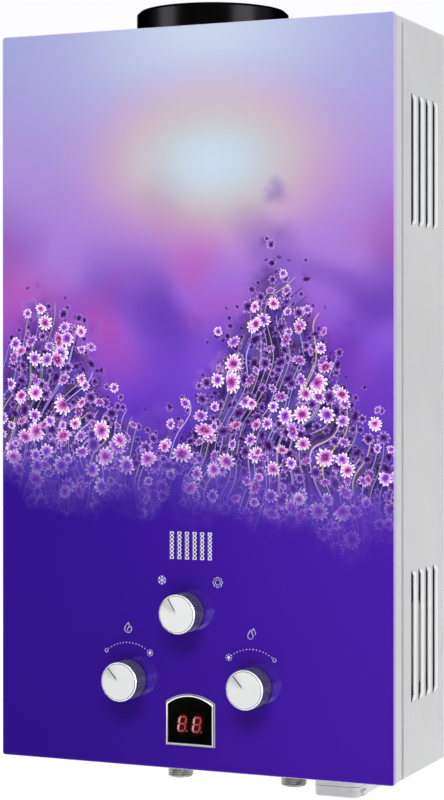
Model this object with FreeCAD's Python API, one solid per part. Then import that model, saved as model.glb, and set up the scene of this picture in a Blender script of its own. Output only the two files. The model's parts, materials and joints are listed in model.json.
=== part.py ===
import FreeCAD, Part
import math
import os

from FreeCAD import Vector

# Gas instantaneous water heater that hangs on a wall and burns into a flue. Millimetres.
# X runs to the right as seen from the room, Y runs to the wall and Z runs up.
# The origin is the centre of the back plate's rear face, on the wall.

# Case
PANEL_WIDTH = 340.0
PANEL_HEIGHT = 590.0
CASE_DEPTH = 126.0
PANEL_CORNER = 2.5
GLASS_THICKNESS = 4.0
GLASS_BEVEL = 0.6
TAPE_THICKNESS = 0.5
TAPE_WIDTH = 10.0
TAPE_INSET = 2.0
FRAME_INSET = 0.5
FRAME_SHEET = 1.0
FRAME_SKIRT = 14.1
GROOVE_WIDTH = 4.9
GROOVE_DEPTH = 2.0
FRAME_LIP = 9.0
LIP_NOTCH_GAP = 1.0
CASE_SHEET = 0.8
CASE_CORNER = 2.5
CASE_RETURN = 12.0
BACK_SHEET = 1.0
BACK_INSET = 1.0
BASE_SHEET = 0.8

# Clearances
FIT_GAP = 0.3
RUNNING_GAP = 0.05
SCREW_GAP = 0.1
CUT_MARGIN = 1.0

# Side louvres
LOUVRE_COUNT = 4
LOUVRE_FIRST = 41.4
LOUVRE_PITCH = 18.0
LOUVRE_LENGTH = 103.0
LOUVRE_END_DISTANCE = 109.0
LOUVRE_SLOT = 10.4
LOUVRE_TONGUE = 3.6
LOUVRE_PRESS = 1.0
LOUVRE_TAPER = 5.0
LOUVRE_TIP = 3.0

# Knobs and their spindles
SIDE_KNOB_X = 54.0
SIDE_KNOB_HEIGHT = 69.0
SEASON_KNOB_X = -3.5
SEASON_KNOB_HEIGHT = 125.0
KNOB_RADIUS = 15.75
KNOB_LENGTH = 18.0
KNOB_GAP = 1.5
KNOB_TEETH = 60
KNOB_TOOTH = 0.35
KNOB_WALL = 2.2
KNOB_FACE_BEVEL = 0.9
KNOB_HUB = 5.5
CAP_RADIUS = 14.5
CAP_THICKNESS = 1.2
CAP_PROUD = 0.3
MARK_WIDTH = 0.9
MARK_DEPTH = 0.5
MARK_START = 3.0
SIDE_KNOB_ANGLE = -41.5
SEASON_KNOB_ANGLE = -31.0
SPINDLE_HOLE = 5.0
SHAFT_RADIUS = 3.0
SHAFT_FLAT = 2.2
SHAFT_GRIP = 10.0
PLUG_RADIUS = 5.0
PLUG_LENGTH = 9.0
PLUG_INSET = 1.5
PLUG_PORT = 2.5
GLAND_FLATS = 14.0
GLAND_LENGTH = 4.5

# Display
DISPLAY_HEIGHT = 18.9
DISPLAY_WIDTH = 42.5
DISPLAY_SHOULDER = 34.6
DISPLAY_RISE = 6.7
BEZEL_RIM = 2.0
BEZEL_PROUD = 2.5
BEZEL_SLEEVE = 1.0
LENS_RECESS = 1.2
LENS_THICKNESS = 1.5
DIGIT_BLOCK_WIDTH = 25.4
DIGIT_BLOCK_HEIGHT = 19.0
DIGIT_BLOCK_DEPTH = 6.0
DIGIT_BLOCK_RISE = 17.2
DIGIT_PITCH = 12.7
DIGIT_HEIGHT = 12.7
DIGIT_WIDTH = 7.2
DIGIT_STROKE = 1.5
DIGIT_POINT = 1.2
DIGIT_SLANT = 8.0
DIGIT_RELIEF = 0.2
DIGIT_GAP = 0.4
BOARD_THICKNESS = 1.6
HOUSING_WALL = 1.5
HOUSING_SIDE = 0.25
HOUSING_ROOM = 7.0
HOUSING_POST_WIDTH = 2.0
HOUSING_POST_HEIGHT = 18.0

# Sight window
SIGHT_HEIGHT = 177.5
SIGHT_SLOTS = 6
SIGHT_PITCH = 6.6
SIGHT_SLOT_WIDTH = 3.9
SIGHT_SLOT_HEIGHT = 22.3
SIGHT_SLOT_CORNER = 0.8
SIGHT_BORDER = 1.5
MESH_BORDER = 4.5
MESH_PITCH = 3.0
MESH_HOLE = 0.75

# Flue
FLUE_X = -8.5
COLLAR_RADIUS = 62.2
COLLAR_WALL = 1.5
COLLAR_HEIGHT = 18.8
COLLAR_CHAMFER = 2.2
COLLAR_RIM = 1.6
COLLAR_FOOT_RADIUS = 58.5
COLLAR_SCREW_ANGLES = (0.0, 50.0, 180.0)
NECK_RADIUS = 51.0
NECK_RISE = 12.0
NOTCH_GAP = 1.5

# Combustion chamber, heat exchanger and hood
CHAMBER_WIDTH = 190.0
CHAMBER_SET_BACK = 22.0
CHAMBER_DEPTH = 82.0
CHAMBER_HEIGHT = 238.0
CHAMBER_SHEET = 0.8
CHAMBER_GAP = 4.0
PIPE_RADIUS = 6.5
PIPE_WALL = 1.0
PIPE_BEND = 10.0
FIN_RISE = 190.0
FIN_HEIGHT = 44.0
FIN_COUNT = 36
FIN_THICKNESS = 0.5
TUBE_PITCH = 26.0
TUBE_LOW = 12.0
TUBE_ROW_RISE = 22.0
TUBE_END_RUN = 15.0
COIL_SIDE_GAP = 4.3
COIL_START = 48.0
COIL_SIDE_RISE = 8.0
COIL_FACE_RISE = 14.0
COIL_TURNS = 2
HOOD_SHEET = 0.8
HOOD_OVERLAP = 6.0
HOOD_SKIRT = 36.0
HOOD_TOP_GAP = 2.0
HOOD_TOP_BORDER = 1.5
SPILL_WIDTH = 58.0
SPILL_HEIGHT = 15.0
SPILL_DROP = 4.0

# Burner
BLADE_COUNT = 9
BLADE_PITCH = 19.5
BLADE_WIDTH = 11.0
BLADE_RISE = 44.0
BLADE_HEAD = 26.0
BLADE_WEB = 4.0
BLADE_THROAT = 5.5
BLADE_WALL = 1.0
BLADE_PORTS = 8
PORT_WIDTH = 1.2
PORT_DEPTH = 4.0
TRAY_SHEET = 1.0
TRAY_SET_BACK = 10.0
TRAY_DEPTH = 70.0
TRAY_WIDTH = 184.0
TRAY_DROP = 10.0
TRAY_RISE = 48.0
TRAY_LEDGE = 8.0
MANIFOLD_SIZE = 12.0
MANIFOLD_WALL = 1.5
MANIFOLD_REACH = 88.0
MANIFOLD_SET_BACK = 1.0
SEASON_BODY_WIDTH = 26.0
SEASON_BODY_HEIGHT = 30.0
NOZZLE_FLATS = 7.0
NOZZLE_LENGTH = 6.0
NOZZLE_TIP = 1.2
NOZZLE_TIP_RADIUS = 2.3
NOZZLE_HOLE = 0.45

# Gas and water valves
VALVE_SET_BACK = 12.0
VALVE_DEPTH = 58.0
VALVE_DROP = 36.0
VALVE_CORNER = 4.0
PORT_SET_BACK = 50.0
ROD_DROP = 20.0
GAS_LEFT = -84.0
GAS_RIGHT = -22.0
GAS_RISE = 26.0
GAS_INLET_X = -31.5
GAS_PASSAGE = 7.0
PASSAGE_ROD_GAP = 1.0
GAS_INLET_BORE = 6.0
GAS_OUTLET_BORE = 4.5
WATER_LEFT = 24.0
WATER_DISC = 8.0
WATER_BLOCK_WIDTH = 44.0
WATER_RISE = 18.0
WATER_BORE = 4.5
COLD_INLET_X = 68.0
COLD_OUTLET_X = 75.0
DRAIN_INSET = 7.0
DRAIN_SET_BACK = 12.0
DRAIN_RADIUS = 5.5
DRAIN_SHANK = 4.5
DRAIN_DROP = 5.5
DRAIN_HEAD = 10.0
DRAIN_SLOT = 1.2
DIAPHRAGM_RADIUS = 30.0
DIAPHRAGM_THICKNESS = 2.0
DIAPHRAGM_RIM = 6.0
COVER_DEPTH = 14.0
COVER_ROOM = 10.0
COVER_FLOOR = 1.5
ROD_RADIUS = 2.5
ROD_TRAVEL = 4.0
ROD_PLATE = 2.0
ROD_PLATE_RADIUS = 18.0
ROD_COLLAR_X = 8.0
ROD_COLLAR_WIDTH = 2.0
ROD_COLLAR_RADIUS = 8.0
POPPET_DEPTH = 28.0
POPPET_WIDTH = 3.0
POPPET_RADIUS = 8.0
POPPET_ROOM = 4.0
SPRING_RADIUS = 4.4
SPRING_WIRE = 0.5
SPRING_TURNS = 7
SOLENOID_RADIUS = 12.0
SOLENOID_PLATE = 26.0
SOLENOID_SHEET = 1.5
SOLENOID_LENGTH = 32.0
SWITCH_DEPTH = 6.4
SWITCH_WIDTH = 20.0
SWITCH_HEIGHT = 10.0
SWITCH_LUG = 1.5
LEVER_PIVOT_RISE = 14.0
LEVER_PIVOT_DROP = 2.0
LEVER_LENGTH = 20.0
LEVER_THICKNESS = 1.0
LEVER_WIDTH = 3.4
LEVER_EYE = 1.7
LEVER_PIN = 0.75
LEVER_EAR = 1.0

# Water and gas connections, half-inch parallel pipe thread
STUB_RADIUS = 10.48
STUB_DROP = 16.0
STUB_RELIEF = 2.5
STUB_RELIEF_RADIUS = 9.6
STUB_BORE = 5.5
STUB_FLANGE_RADIUS = 14.0
STUB_FLANGE = 3.0
STUB_HEX_FLATS = 22.0
STUB_HEX_LENGTH = 10.0
STUB_NECK = 9.5
NUT_FLATS = 19.0
UNION_FLATS = 18.0
NUT_LENGTH = 10.0
HALF_NUT_LENGTH = 5.0
COLD_PIPE_DROP = 13.0
COLD_UNION_DROP = 16.0
HOT_PIPE_X = -132.0
HOT_PIPE_SLANT = 32.0
HOT_OUTLET_X = -110.0
HOT_OUTLET_DEPTH = 35.0
HOT_STUB_LENGTH = 38.5
HOT_PIPE_FOOT = 20.0

# Ignition, sensors and leads
IGNITER_LEFT = 100.0
IGNITER_WIDTH = 56.0
IGNITER_DEPTH = 30.0
IGNITER_HEIGHT = 67.0
IGNITER_CORNER = 3.0
IGNITER_RISE = 6.7
IGNITER_SEAM = 1.0
IGNITER_SEAM_DEPTH = 1.5
IGNITER_SEAM_PLACE = 9.0
SPARK_GAP_INDEX = 2.5
FLAME_GAP_INDEX = 3.5
CERAMIC_RADIUS = 3.0
CERAMIC_REACH = 19.0
CERAMIC_FLANGE = 2.0
CERAMIC_FLANGE_RADIUS = 4.5
ELECTRODE_DROP = 8.0
ELECTRODE_WIRE = 0.8
ELECTRODE_RUN = 13.0
ELECTRODE_RISE = 12.0
SENSOR_RADIUS = 8.0
SENSOR_HEIGHT = 7.0
SENSOR_FLANGE_RADIUS = 10.0
SENSOR_FLANGE = 1.5
THERMOSTAT_RISE = 158.0
FLUE_SENSOR_RISE = 15.0
WIRE_RADIUS = 1.2
WIRE_BEND = 5.0
WIRE_PITCH = 8.0
WIRE_FIRST = 30.0
WIRE_DEPTH = 15.0
DISPLAY_LEAD_X = 8.0
HIGH_TENSION_RADIUS = 1.7
HIGH_TENSION_BEND = 3.4
HIGH_TENSION_PITCH = 10.0
HIGH_TENSION_FIRST = 18.0
HIGH_TENSION_REACH = 4.0
HIGH_TENSION_DROP = 27.0
HIGH_TENSION_STEP = 7.0

# Battery compartment
CELL_RADIUS = 17.1
CELL_LENGTH = 61.5
CELL_BUTTON_RADIUS = 5.5
CELL_BUTTON = 2.0
CELL_GAP = 0.3
CELL_PROUD = 2.0
BOX_WALL = 1.5
BOX_CLEARANCE = 1.5
BOX_SET_BACK = 26.0
BOX_CORNER = 7.0
LID_DROP = 18.0
LID_HEIGHT = 8.5
LID_FLOOR = 2.0
CONTACT_HEIGHT = 4.0
CONTACT_SHEET = 0.4
CONTACT_PLATE = 17.0
CONTACT_STEM = 4.2
LID_CONTACT_WIDTH = 10.0
LID_CONTACT_FLAT = 4.0
HINGE_RADIUS = 1.5
HINGE_KNUCKLE = 3.0
HINGE_SET_BACK = 3.4
HINGE_WIDTH = 14.0
HINGE_EAR = 4.0
TAB_WIDTH = 9.0
TAB_PROUD = 2.2
TAB_HEIGHT = 4.0

# Fixings
WALL_HOLE = 3.5
WALL_HOLE_SIDE = 49.5
WALL_HOLE_END = 32.5
SCREW_SHANK = 1.6
SCREW_HEAD = 3.6
SCREW_HEAD_HEIGHT = 1.8
REAR_SCREW_END = 44.5
REAR_SCREW_INSET = 6.0
COVER_SCREW_X = 50.0
COVER_SCREW_LENGTH = 5.0
COLLAR_SCREW_LENGTH = 3.2
COLLAR_SCREW_REACH = 56.0
BRACKET_WIDTH = 18.0
BRACKET_SHEET = 1.5
BRACKET_PAD = 14.0
CHAMBER_ARM_X = 47.5

# Planes of the case that the other pieces stand on
GLASS_FRONT = -CASE_DEPTH
GLASS_BACK = GLASS_FRONT + GLASS_THICKNESS
FRAME_FACE = GLASS_BACK + TAPE_THICKNESS
FRAME_BACK = FRAME_FACE + FRAME_SHEET
SKIRT_END = FRAME_FACE + FRAME_SKIRT
CASE_FRONT = SKIRT_END + GROOVE_WIDTH
LIP_END = CASE_FRONT + FRAME_LIP
LIP_MIDDLE = (CASE_FRONT + LIP_END) / 2
CASE_REAR = -BACK_SHEET
PANEL_BOTTOM = -PANEL_HEIGHT / 2
HALF_WIDTH = PANEL_WIDTH / 2 - FRAME_INSET
HALF_HEIGHT = PANEL_HEIGHT / 2 - FRAME_INSET
CASE_TOP = HALF_HEIGHT
BASE_UNDER = -HALF_HEIGHT + CASE_SHEET
BASE_TOP = BASE_UNDER + BASE_SHEET
LIP_TOP = HALF_HEIGHT - GROOVE_DEPTH - FRAME_SHEET
LOUVRE_GROUP_Z = PANEL_HEIGHT / 2 - LOUVRE_END_DISTANCE

# Controls
SIDE_KNOB_Z = PANEL_BOTTOM + SIDE_KNOB_HEIGHT
SEASON_KNOB_Z = PANEL_BOTTOM + SEASON_KNOB_HEIGHT
SIGHT_Z = PANEL_BOTTOM + SIGHT_HEIGHT
SIGHT_WIDTH = SIGHT_PITCH * (SIGHT_SLOTS - 1) + SIGHT_SLOT_WIDTH
KNOB_BACK = GLASS_FRONT - KNOB_GAP
KNOB_FRONT = KNOB_BACK - KNOB_LENGTH
SHAFT_FRONT = KNOB_FRONT + CAP_THICKNESS + KNOB_WALL
SPINDLES = (
    ("gas", -SIDE_KNOB_X, SIDE_KNOB_Z, SIDE_KNOB_ANGLE),
    ("water", SIDE_KNOB_X, SIDE_KNOB_Z, SIDE_KNOB_ANGLE),
    ("season", SEASON_KNOB_X, SEASON_KNOB_Z, SEASON_KNOB_ANGLE),
)

# Display
DISPLAY_BOTTOM = PANEL_BOTTOM + DISPLAY_HEIGHT
DISPLAY_TOP = DISPLAY_BOTTOM + DISPLAY_SHOULDER + DISPLAY_RISE
BEZEL_FRONT = GLASS_FRONT - BEZEL_PROUD
SLEEVE_INSET = BEZEL_RIM - BEZEL_SLEEVE
LENS_FRONT = BEZEL_FRONT + LENS_RECESS
DIGIT_FACE = LENS_FRONT + LENS_THICKNESS + FIT_GAP + DIGIT_RELIEF
BOARD_FRONT = DIGIT_FACE + DIGIT_BLOCK_DEPTH
HOUSING_REAR = BOARD_FRONT + BOARD_THICKNESS + HOUSING_ROOM
HOUSING_HALF_WIDTH = DISPLAY_WIDTH / 2 - HOUSING_SIDE

# Flue, chamber and burner
FLUE_Y = -CASE_DEPTH / 2
HOOD_TOP = LIP_TOP - HOOD_TOP_GAP
CHAMBER_HALF = CHAMBER_WIDTH / 2
CHAMBER_FRONT = GLASS_FRONT + CHAMBER_SET_BACK
CHAMBER_REAR = CHAMBER_FRONT + CHAMBER_DEPTH
CHAMBER_MIDDLE = (CHAMBER_FRONT + CHAMBER_REAR) / 2
CHAMBER_CORNER = PIPE_BEND - PIPE_RADIUS - FIT_GAP
BLADE_TOP = SEASON_KNOB_Z + BLADE_RISE
TRAY_BOTTOM = SEASON_KNOB_Z - TRAY_DROP
TRAY_TOP = SEASON_KNOB_Z + TRAY_RISE
TRAY_HALF = TRAY_WIDTH / 2
TRAY_FRONT = CHAMBER_FRONT + TRAY_SET_BACK
TRAY_REAR = TRAY_FRONT + TRAY_DEPTH
CHAMBER_BOTTOM = TRAY_TOP + CHAMBER_GAP
CHAMBER_TOP = CHAMBER_BOTTOM + CHAMBER_HEIGHT
FIN_BOTTOM = CHAMBER_BOTTOM + FIN_RISE
COIL_X = CHAMBER_HALF + COIL_SIDE_GAP + PIPE_RADIUS
COIL_FRONT_Y = CHAMBER_FRONT - FIT_GAP - PIPE_RADIUS
COIL_REAR_Y = CHAMBER_REAR + FIT_GAP + PIPE_RADIUS
TUBE_X = CHAMBER_HALF + TUBE_END_RUN
HOOD_BOTTOM = CHAMBER_TOP - HOOD_OVERLAP
HOOD_SHOULDER = HOOD_BOTTOM + HOOD_SKIRT
HOOD_FACE = CHAMBER_HALF + FIT_GAP + HOOD_SHEET

# Valves and connections
VALVE_FRONT = GLASS_FRONT + VALVE_SET_BACK
VALVE_REAR = VALVE_FRONT + VALVE_DEPTH
VALVE_BOTTOM = SIDE_KNOB_Z - VALVE_DROP
PORT_Y = GLASS_FRONT + PORT_SET_BACK
ROD_Z = SIDE_KNOB_Z - ROD_DROP
GAS_TOP = SIDE_KNOB_Z + GAS_RISE
POPPET_X = GAS_RIGHT - POPPET_DEPTH
MANIFOLD_FRONT = VALVE_FRONT + MANIFOLD_SET_BACK
MANIFOLD_REAR = MANIFOLD_FRONT + MANIFOLD_SIZE
MANIFOLD_MIDDLE = (MANIFOLD_FRONT + MANIFOLD_REAR) / 2
COVER_RIGHT = WATER_LEFT + COVER_DEPTH
DISC_LEFT = COVER_RIGHT + DIAPHRAGM_THICKNESS
WATER_BLOCK_LEFT = DISC_LEFT + WATER_DISC
WATER_RIGHT = WATER_BLOCK_LEFT + WATER_BLOCK_WIDTH
WATER_TOP = SIDE_KNOB_Z + WATER_RISE
DRAIN_X = WATER_RIGHT - DRAIN_INSET
DRAIN_Y = PORT_Y + DRAIN_SET_BACK
DRAIN_BOTTOM = -HALF_HEIGHT - DRAIN_DROP
SOLENOID_LEFT = GAS_LEFT - SOLENOID_LENGTH
SOLENOID_Z = SIDE_KNOB_Z
SWITCH_FRONT = PORT_Y + SPRING_RADIUS + SPRING_WIRE + FIT_GAP
LEVER_X = ROD_COLLAR_X - FIT_GAP - LEVER_THICKNESS / 2
LEVER_Z = ROD_Z + LEVER_PIVOT_RISE
SWITCH_Z = LEVER_Z - LEVER_PIVOT_DROP
SWITCH_RIGHT = LEVER_X - LEVER_EYE - FIT_GAP
STUB_BOTTOM = -HALF_HEIGHT - STUB_DROP
HOT_OUTLET_Y = CASE_REAR - HOT_OUTLET_DEPTH
HOT_STUB_TOP = STUB_BOTTOM + HOT_STUB_LENGTH
COLD_UNION_Z = CHAMBER_BOTTOM - COLD_UNION_DROP

# Battery compartment
BAY_WIDTH = 2 * (CELL_RADIUS + CELL_GAP)
BOX_LEFT = WATER_RIGHT + BOX_CLEARANCE
BOX_RIGHT = BOX_LEFT + BAY_WIDTH + 2 * BOX_WALL
BOX_FRONT = GLASS_FRONT + BOX_SET_BACK
BOX_REAR = BOX_FRONT + 2 * BAY_WIDTH + 3 * BOX_WALL
BOX_MIDDLE_X = (BOX_LEFT + BOX_RIGHT) / 2
LID_BOTTOM = -HALF_HEIGHT - LID_DROP
LID_TOP = LID_BOTTOM + LID_HEIGHT
BOX_BOTTOM = LID_TOP + FIT_GAP
CELL_BOTTOM = BOX_BOTTOM - CELL_PROUD
CELL_TOP = CELL_BOTTOM + CELL_LENGTH
BOX_TOP = CELL_TOP + CONTACT_HEIGHT + BOX_WALL
HINGE_Y = BOX_REAR + HINGE_SET_BACK
HINGE_Z = BOX_BOTTOM

# Ignition and sensors
IGNITER_RIGHT = IGNITER_LEFT + IGNITER_WIDTH
IGNITER_FRONT = CASE_REAR - IGNITER_DEPTH
IGNITER_BOTTOM = BOX_TOP + IGNITER_RISE
IGNITER_TOP = IGNITER_BOTTOM + IGNITER_HEIGHT
ELECTRODE_Z = TRAY_TOP - ELECTRODE_DROP
CERAMIC_FRONT = TRAY_FRONT - CERAMIC_REACH
CERAMIC_REAR = TRAY_FRONT + TRAY_SHEET + FIT_GAP
THERMOSTAT_Z = CHAMBER_BOTTOM + THERMOSTAT_RISE
FLUE_SENSOR_Z = CHAMBER_TOP + FLUE_SENSOR_RISE

AXES = {"x": Vector(1, 0, 0), "y": Vector(0, 1, 0), "z": Vector(0, 0, 1)}


def span(centre, width):
    """Low and high limits of a width about a centre."""
    return centre - width / 2, centre + width / 2


def widened(limits):
    """Limits that run past a wall on both sides, for a cut through it."""
    return limits[0] - CUT_MARGIN, limits[1] + CUT_MARGIN


def block(x, y, z):
    """Box between a low and a high limit along each axis."""
    return Part.makeBox(x[1] - x[0], y[1] - y[0], z[1] - z[0], Vector(x[0], y[0], z[0]))


def rounded_block(x, y, z, axis, radius):
    """Box whose four edges along one axis are rounded."""
    solid = block(x, y, z)
    edges = []
    for edge in solid.Edges:
        if abs(edge.tangentAt(edge.FirstParameter).dot(AXES[axis])) > 0.99:
            edges.append(edge)
    return solid.makeFillet(radius, edges)


def axis_point(axis, centre, along):
    """Point at a distance along an axis, with the other two coordinates in centre."""
    first, second = centre
    if axis == "x":
        return Vector(along, first, second)
    if axis == "y":
        return Vector(first, along, second)
    return Vector(first, second, along)


def rod(axis, centre, limits, radius):
    """Round bar along an axis between two limits."""
    low, high = limits
    return Part.makeCylinder(radius, high - low, axis_point(axis, centre, low), AXES[axis])


def ring(axis, centre, limits, outer, inner):
    """Round tube along an axis."""
    return rod(axis, centre, limits, outer).cut(rod(axis, centre, widened(limits), inner))


def hexagon(axis, centre, limits, flats):
    """Hexagonal bar along an axis, with its width across flats."""
    low, high = limits
    corner = flats / math.sqrt(3)
    points = []
    for index in range(7):
        angle = math.radians(60 * index)
        across = (centre[0] + corner * math.sin(angle), centre[1] + corner * math.cos(angle))
        points.append(axis_point(axis, across, low))
    return Part.Face(Part.makePolygon(points)).extrude(AXES[axis] * (high - low))


def hex_nut(axis, centre, limits, flats, bore):
    """Hexagonal nut with a plain bore."""
    return hexagon(axis, centre, limits, flats).cut(rod(axis, centre, widened(limits), bore))


def turned(profile, centre_x, centre_y):
    """Solid turned about an upright line, from its radius and height points."""
    points = [Vector(centre_x + radius, centre_y, height) for radius, height in profile]
    face = Part.Face(Part.makePolygon(points + [points[0]]))
    return face.revolve(Vector(centre_x, centre_y, 0), AXES["z"], 360)


def bent_path(points, bend):
    """Straight runs joined by tangent arcs of one radius."""
    edges = []
    start = points[0]
    for before, corner, after in zip(points, points[1:], points[2:]):
        inward = (before - corner).normalize()
        outward = (after - corner).normalize()
        half_turn = (math.pi - inward.getAngle(outward)) / 2
        setback = bend * math.tan(half_turn)
        first = corner + inward * setback
        last = corner + outward * setback
        bisector = (inward + outward).normalize()
        middle = corner + bisector * (bend / math.cos(half_turn) - bend)
        edges.append(Part.LineSegment(start, first).toShape())
        edges.append(Part.Arc(first, middle, last).toShape())
        start = last
    edges.append(Part.LineSegment(start, points[-1]).toShape())
    return Part.Wire(edges)


def swept(path, start, direction, radius):
    """Round bar along a path that leaves start in a direction."""
    circle = Part.Wire(Part.makeCircle(radius, start, direction))
    return path.makePipeShell([circle], True, False)


def bent_bar(points, bend, radius):
    """Round bar along points, with rounded corners."""
    points = [Vector(*point) for point in points]
    return swept(bent_path(points, bend), points[0], points[1] - points[0], radius)


def bent_pipe(points, bend):
    """Water pipe along points, with rounded corners and open ends."""
    outer = bent_bar(points, bend, PIPE_RADIUS)
    return outer.cut(bent_bar(points, bend, PIPE_RADIUS - PIPE_WALL))


def joined(shapes):
    """One solid from pieces that touch or overlap."""
    return shapes[0].fuse(shapes[1:]).removeSplitter()


def cut_all(solid, tools):
    """A solid less each tool."""
    for tool in tools:
        solid = solid.cut(tool)
    return solid


def arch(inset, limits):
    """Display outline, square at the foot and arched at the head, drawn in by an inset."""
    half = DISPLAY_WIDTH / 2 - inset
    low = DISPLAY_BOTTOM + inset
    shoulder = DISPLAY_BOTTOM + DISPLAY_SHOULDER - inset
    near, far = limits
    foot_left = Vector(-half, near, low)
    foot_right = Vector(half, near, low)
    head_right = Vector(half, near, shoulder)
    head_left = Vector(-half, near, shoulder)
    crown = Vector(0, near, DISPLAY_TOP - inset)
    edges = [
        Part.LineSegment(foot_left, foot_right).toShape(),
        Part.LineSegment(foot_right, head_right).toShape(),
        Part.Arc(head_right, crown, head_left).toShape(),
        Part.LineSegment(head_left, foot_left).toShape(),
    ]
    return Part.Face(Part.Wire(edges)).extrude(Vector(0, far - near, 0))


def screw(axis, centre, seat, way, length):
    """Pan-head screw whose head stands on a seat and whose shank runs from it along the way."""
    head = sorted((seat, seat - way * SCREW_HEAD_HEIGHT))
    shank = sorted((seat, seat + way * length))
    return joined([rod(axis, centre, head, SCREW_HEAD), rod(axis, centre, shank, SCREW_SHANK)])


def screw_hole(axis, centre, wall):
    """Clearance hole for a screw's shank, through a wall."""
    return rod(axis, centre, widened(wall), SCREW_SHANK + SCREW_GAP)


def rear_screws():
    """Places of the screws that hold the casing's rear return to the back plate."""
    x = HALF_WIDTH - REAR_SCREW_INSET
    z = HALF_HEIGHT - REAR_SCREW_END
    return [(side * x, height) for side in (-1, 1) for height in (-z, 0.0, z)]


def collar_screws():
    """Places of the screws that hold the flue collar to the case's top."""
    centres = []
    for angle in COLLAR_SCREW_ANGLES:
        turn = math.radians(angle)
        x = FLUE_X + COLLAR_SCREW_REACH * math.cos(turn)
        centres.append((x, FLUE_Y + COLLAR_SCREW_REACH * math.sin(turn)))
    return centres


def cover_screws():
    """Places of the screws that hold the front frame's lip to the base plate."""
    return [(side * COVER_SCREW_X, LIP_MIDDLE) for side in (-1, 1)]


def stub_centres():
    """Places of the gas inlet, the cold inlet and the hot outlet."""
    return [(GAS_INLET_X, PORT_Y), (COLD_INLET_X, PORT_Y), (HOT_OUTLET_X, HOT_OUTLET_Y)]


def spindle_holes(wall):
    """Holes for the three control spindles, through a wall."""
    return [rod("y", (x, z), widened(wall), SPINDLE_HOLE) for _, x, z, _ in SPINDLES]


def sight_slots(wall):
    """The upright slots of the sight window, through a wall."""
    slots = []
    first = -SIGHT_PITCH * (SIGHT_SLOTS - 1) / 2
    for index in range(SIGHT_SLOTS):
        x = span(first + index * SIGHT_PITCH, SIGHT_SLOT_WIDTH)
        z = span(SIGHT_Z, SIGHT_SLOT_HEIGHT)
        slots.append(rounded_block(x, widened(wall), z, "y", SIGHT_SLOT_CORNER))
    return slots


def neck_notch():
    """Round space through the case's top for the hood's neck."""
    limits = widened((LIP_TOP, CASE_TOP))
    return rod("z", (FLUE_X, FLUE_Y), limits, NECK_RADIUS + NOTCH_GAP)


def glass_panel():
    wall = (GLASS_FRONT, GLASS_BACK)
    glass = rounded_block(span(0, PANEL_WIDTH), wall, span(0, PANEL_HEIGHT), "y", PANEL_CORNER)
    front = [edge for edge in glass.Edges if edge.BoundBox.YMax < GLASS_FRONT + GLASS_THICKNESS / 2]
    glass = glass.makeChamfer(GLASS_BEVEL, front)
    opening = arch(SLEEVE_INSET - FIT_GAP, widened(wall))
    return cut_all(glass, spindle_holes(wall) + sight_slots(wall) + [opening])


def bonding_tape():
    wall = (GLASS_BACK, FRAME_FACE)
    width = PANEL_WIDTH - 2 * TAPE_INSET
    height = PANEL_HEIGHT - 2 * TAPE_INSET
    inner = block(span(0, width - 2 * TAPE_WIDTH), widened(wall), span(0, height - 2 * TAPE_WIDTH))
    return block(span(0, width), wall, span(0, height)).cut(inner)


def front_frame():
    wide, high = HALF_WIDTH, HALF_HEIGHT
    skirt = rounded_block((-wide, wide), (FRAME_FACE, SKIRT_END), (-high, high), "y", CASE_CORNER)
    pocket_wide, pocket_high = wide - FRAME_SHEET, high - FRAME_SHEET
    pocket = block(
        (-pocket_wide, pocket_wide), (FRAME_BACK, SKIRT_END - FRAME_SHEET), (-pocket_high, pocket_high)
    )
    wide, high = wide - GROOVE_DEPTH, high - GROOVE_DEPTH
    lip = block((-wide, wide), (SKIRT_END - FRAME_SHEET, LIP_END), (-high, high))
    bore = block(
        (FRAME_SHEET - wide, wide - FRAME_SHEET),
        (FRAME_BACK, LIP_END + CUT_MARGIN),
        (FRAME_SHEET - high, high - FRAME_SHEET),
    )
    wall = (FRAME_FACE, FRAME_BACK)
    window = block(
        span(0, SIGHT_WIDTH + 2 * SIGHT_BORDER),
        widened(wall),
        span(SIGHT_Z, SIGHT_SLOT_HEIGHT + 2 * SIGHT_BORDER),
    )
    lip_notch = block(
        (BOX_LEFT - LIP_NOTCH_GAP, BOX_RIGHT + LIP_NOTCH_GAP),
        (BOX_FRONT - LIP_NOTCH_GAP, LIP_END + CUT_MARGIN),
        widened((-high, FRAME_SHEET - high)),
    )
    tools = [pocket, bore, window, lip_notch, neck_notch(), arch(SLEEVE_INSET - FIT_GAP, widened(wall))]
    tools += spindle_holes(wall)
    tools += [screw_hole("z", centre, (-high, FRAME_SHEET - high)) for centre in cover_screws()]
    return cut_all(joined([skirt, lip]), tools)


def louvre_tongue(side, front, middle_z):
    """Pressed tongue behind one louvre slot, flush at its ends and set in between them."""
    root = front + LOUVRE_SLOT + LOUVRE_TONGUE + CASE_SHEET
    half = LOUVRE_LENGTH / 2
    stations = (
        (-half, LOUVRE_TIP, 0.0),
        (-half + LOUVRE_TAPER, LOUVRE_SLOT, LOUVRE_PRESS),
        (half - LOUVRE_TAPER, LOUVRE_SLOT, LOUVRE_PRESS),
        (half, LOUVRE_TIP, 0.0),
    )
    sections = []
    for z, slot, press in stations:
        outer = side * (HALF_WIDTH - press)
        inner = side * (HALF_WIDTH - press - CASE_SHEET)
        points = [
            Vector(outer, front + slot, middle_z + z),
            Vector(side * HALF_WIDTH, root, middle_z + z),
            Vector(side * (HALF_WIDTH - CASE_SHEET), root, middle_z + z),
            Vector(inner, front + slot, middle_z + z),
        ]
        sections.append(Part.makePolygon(points + [points[0]]))
    return Part.makeLoft(sections, True, True)


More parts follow.
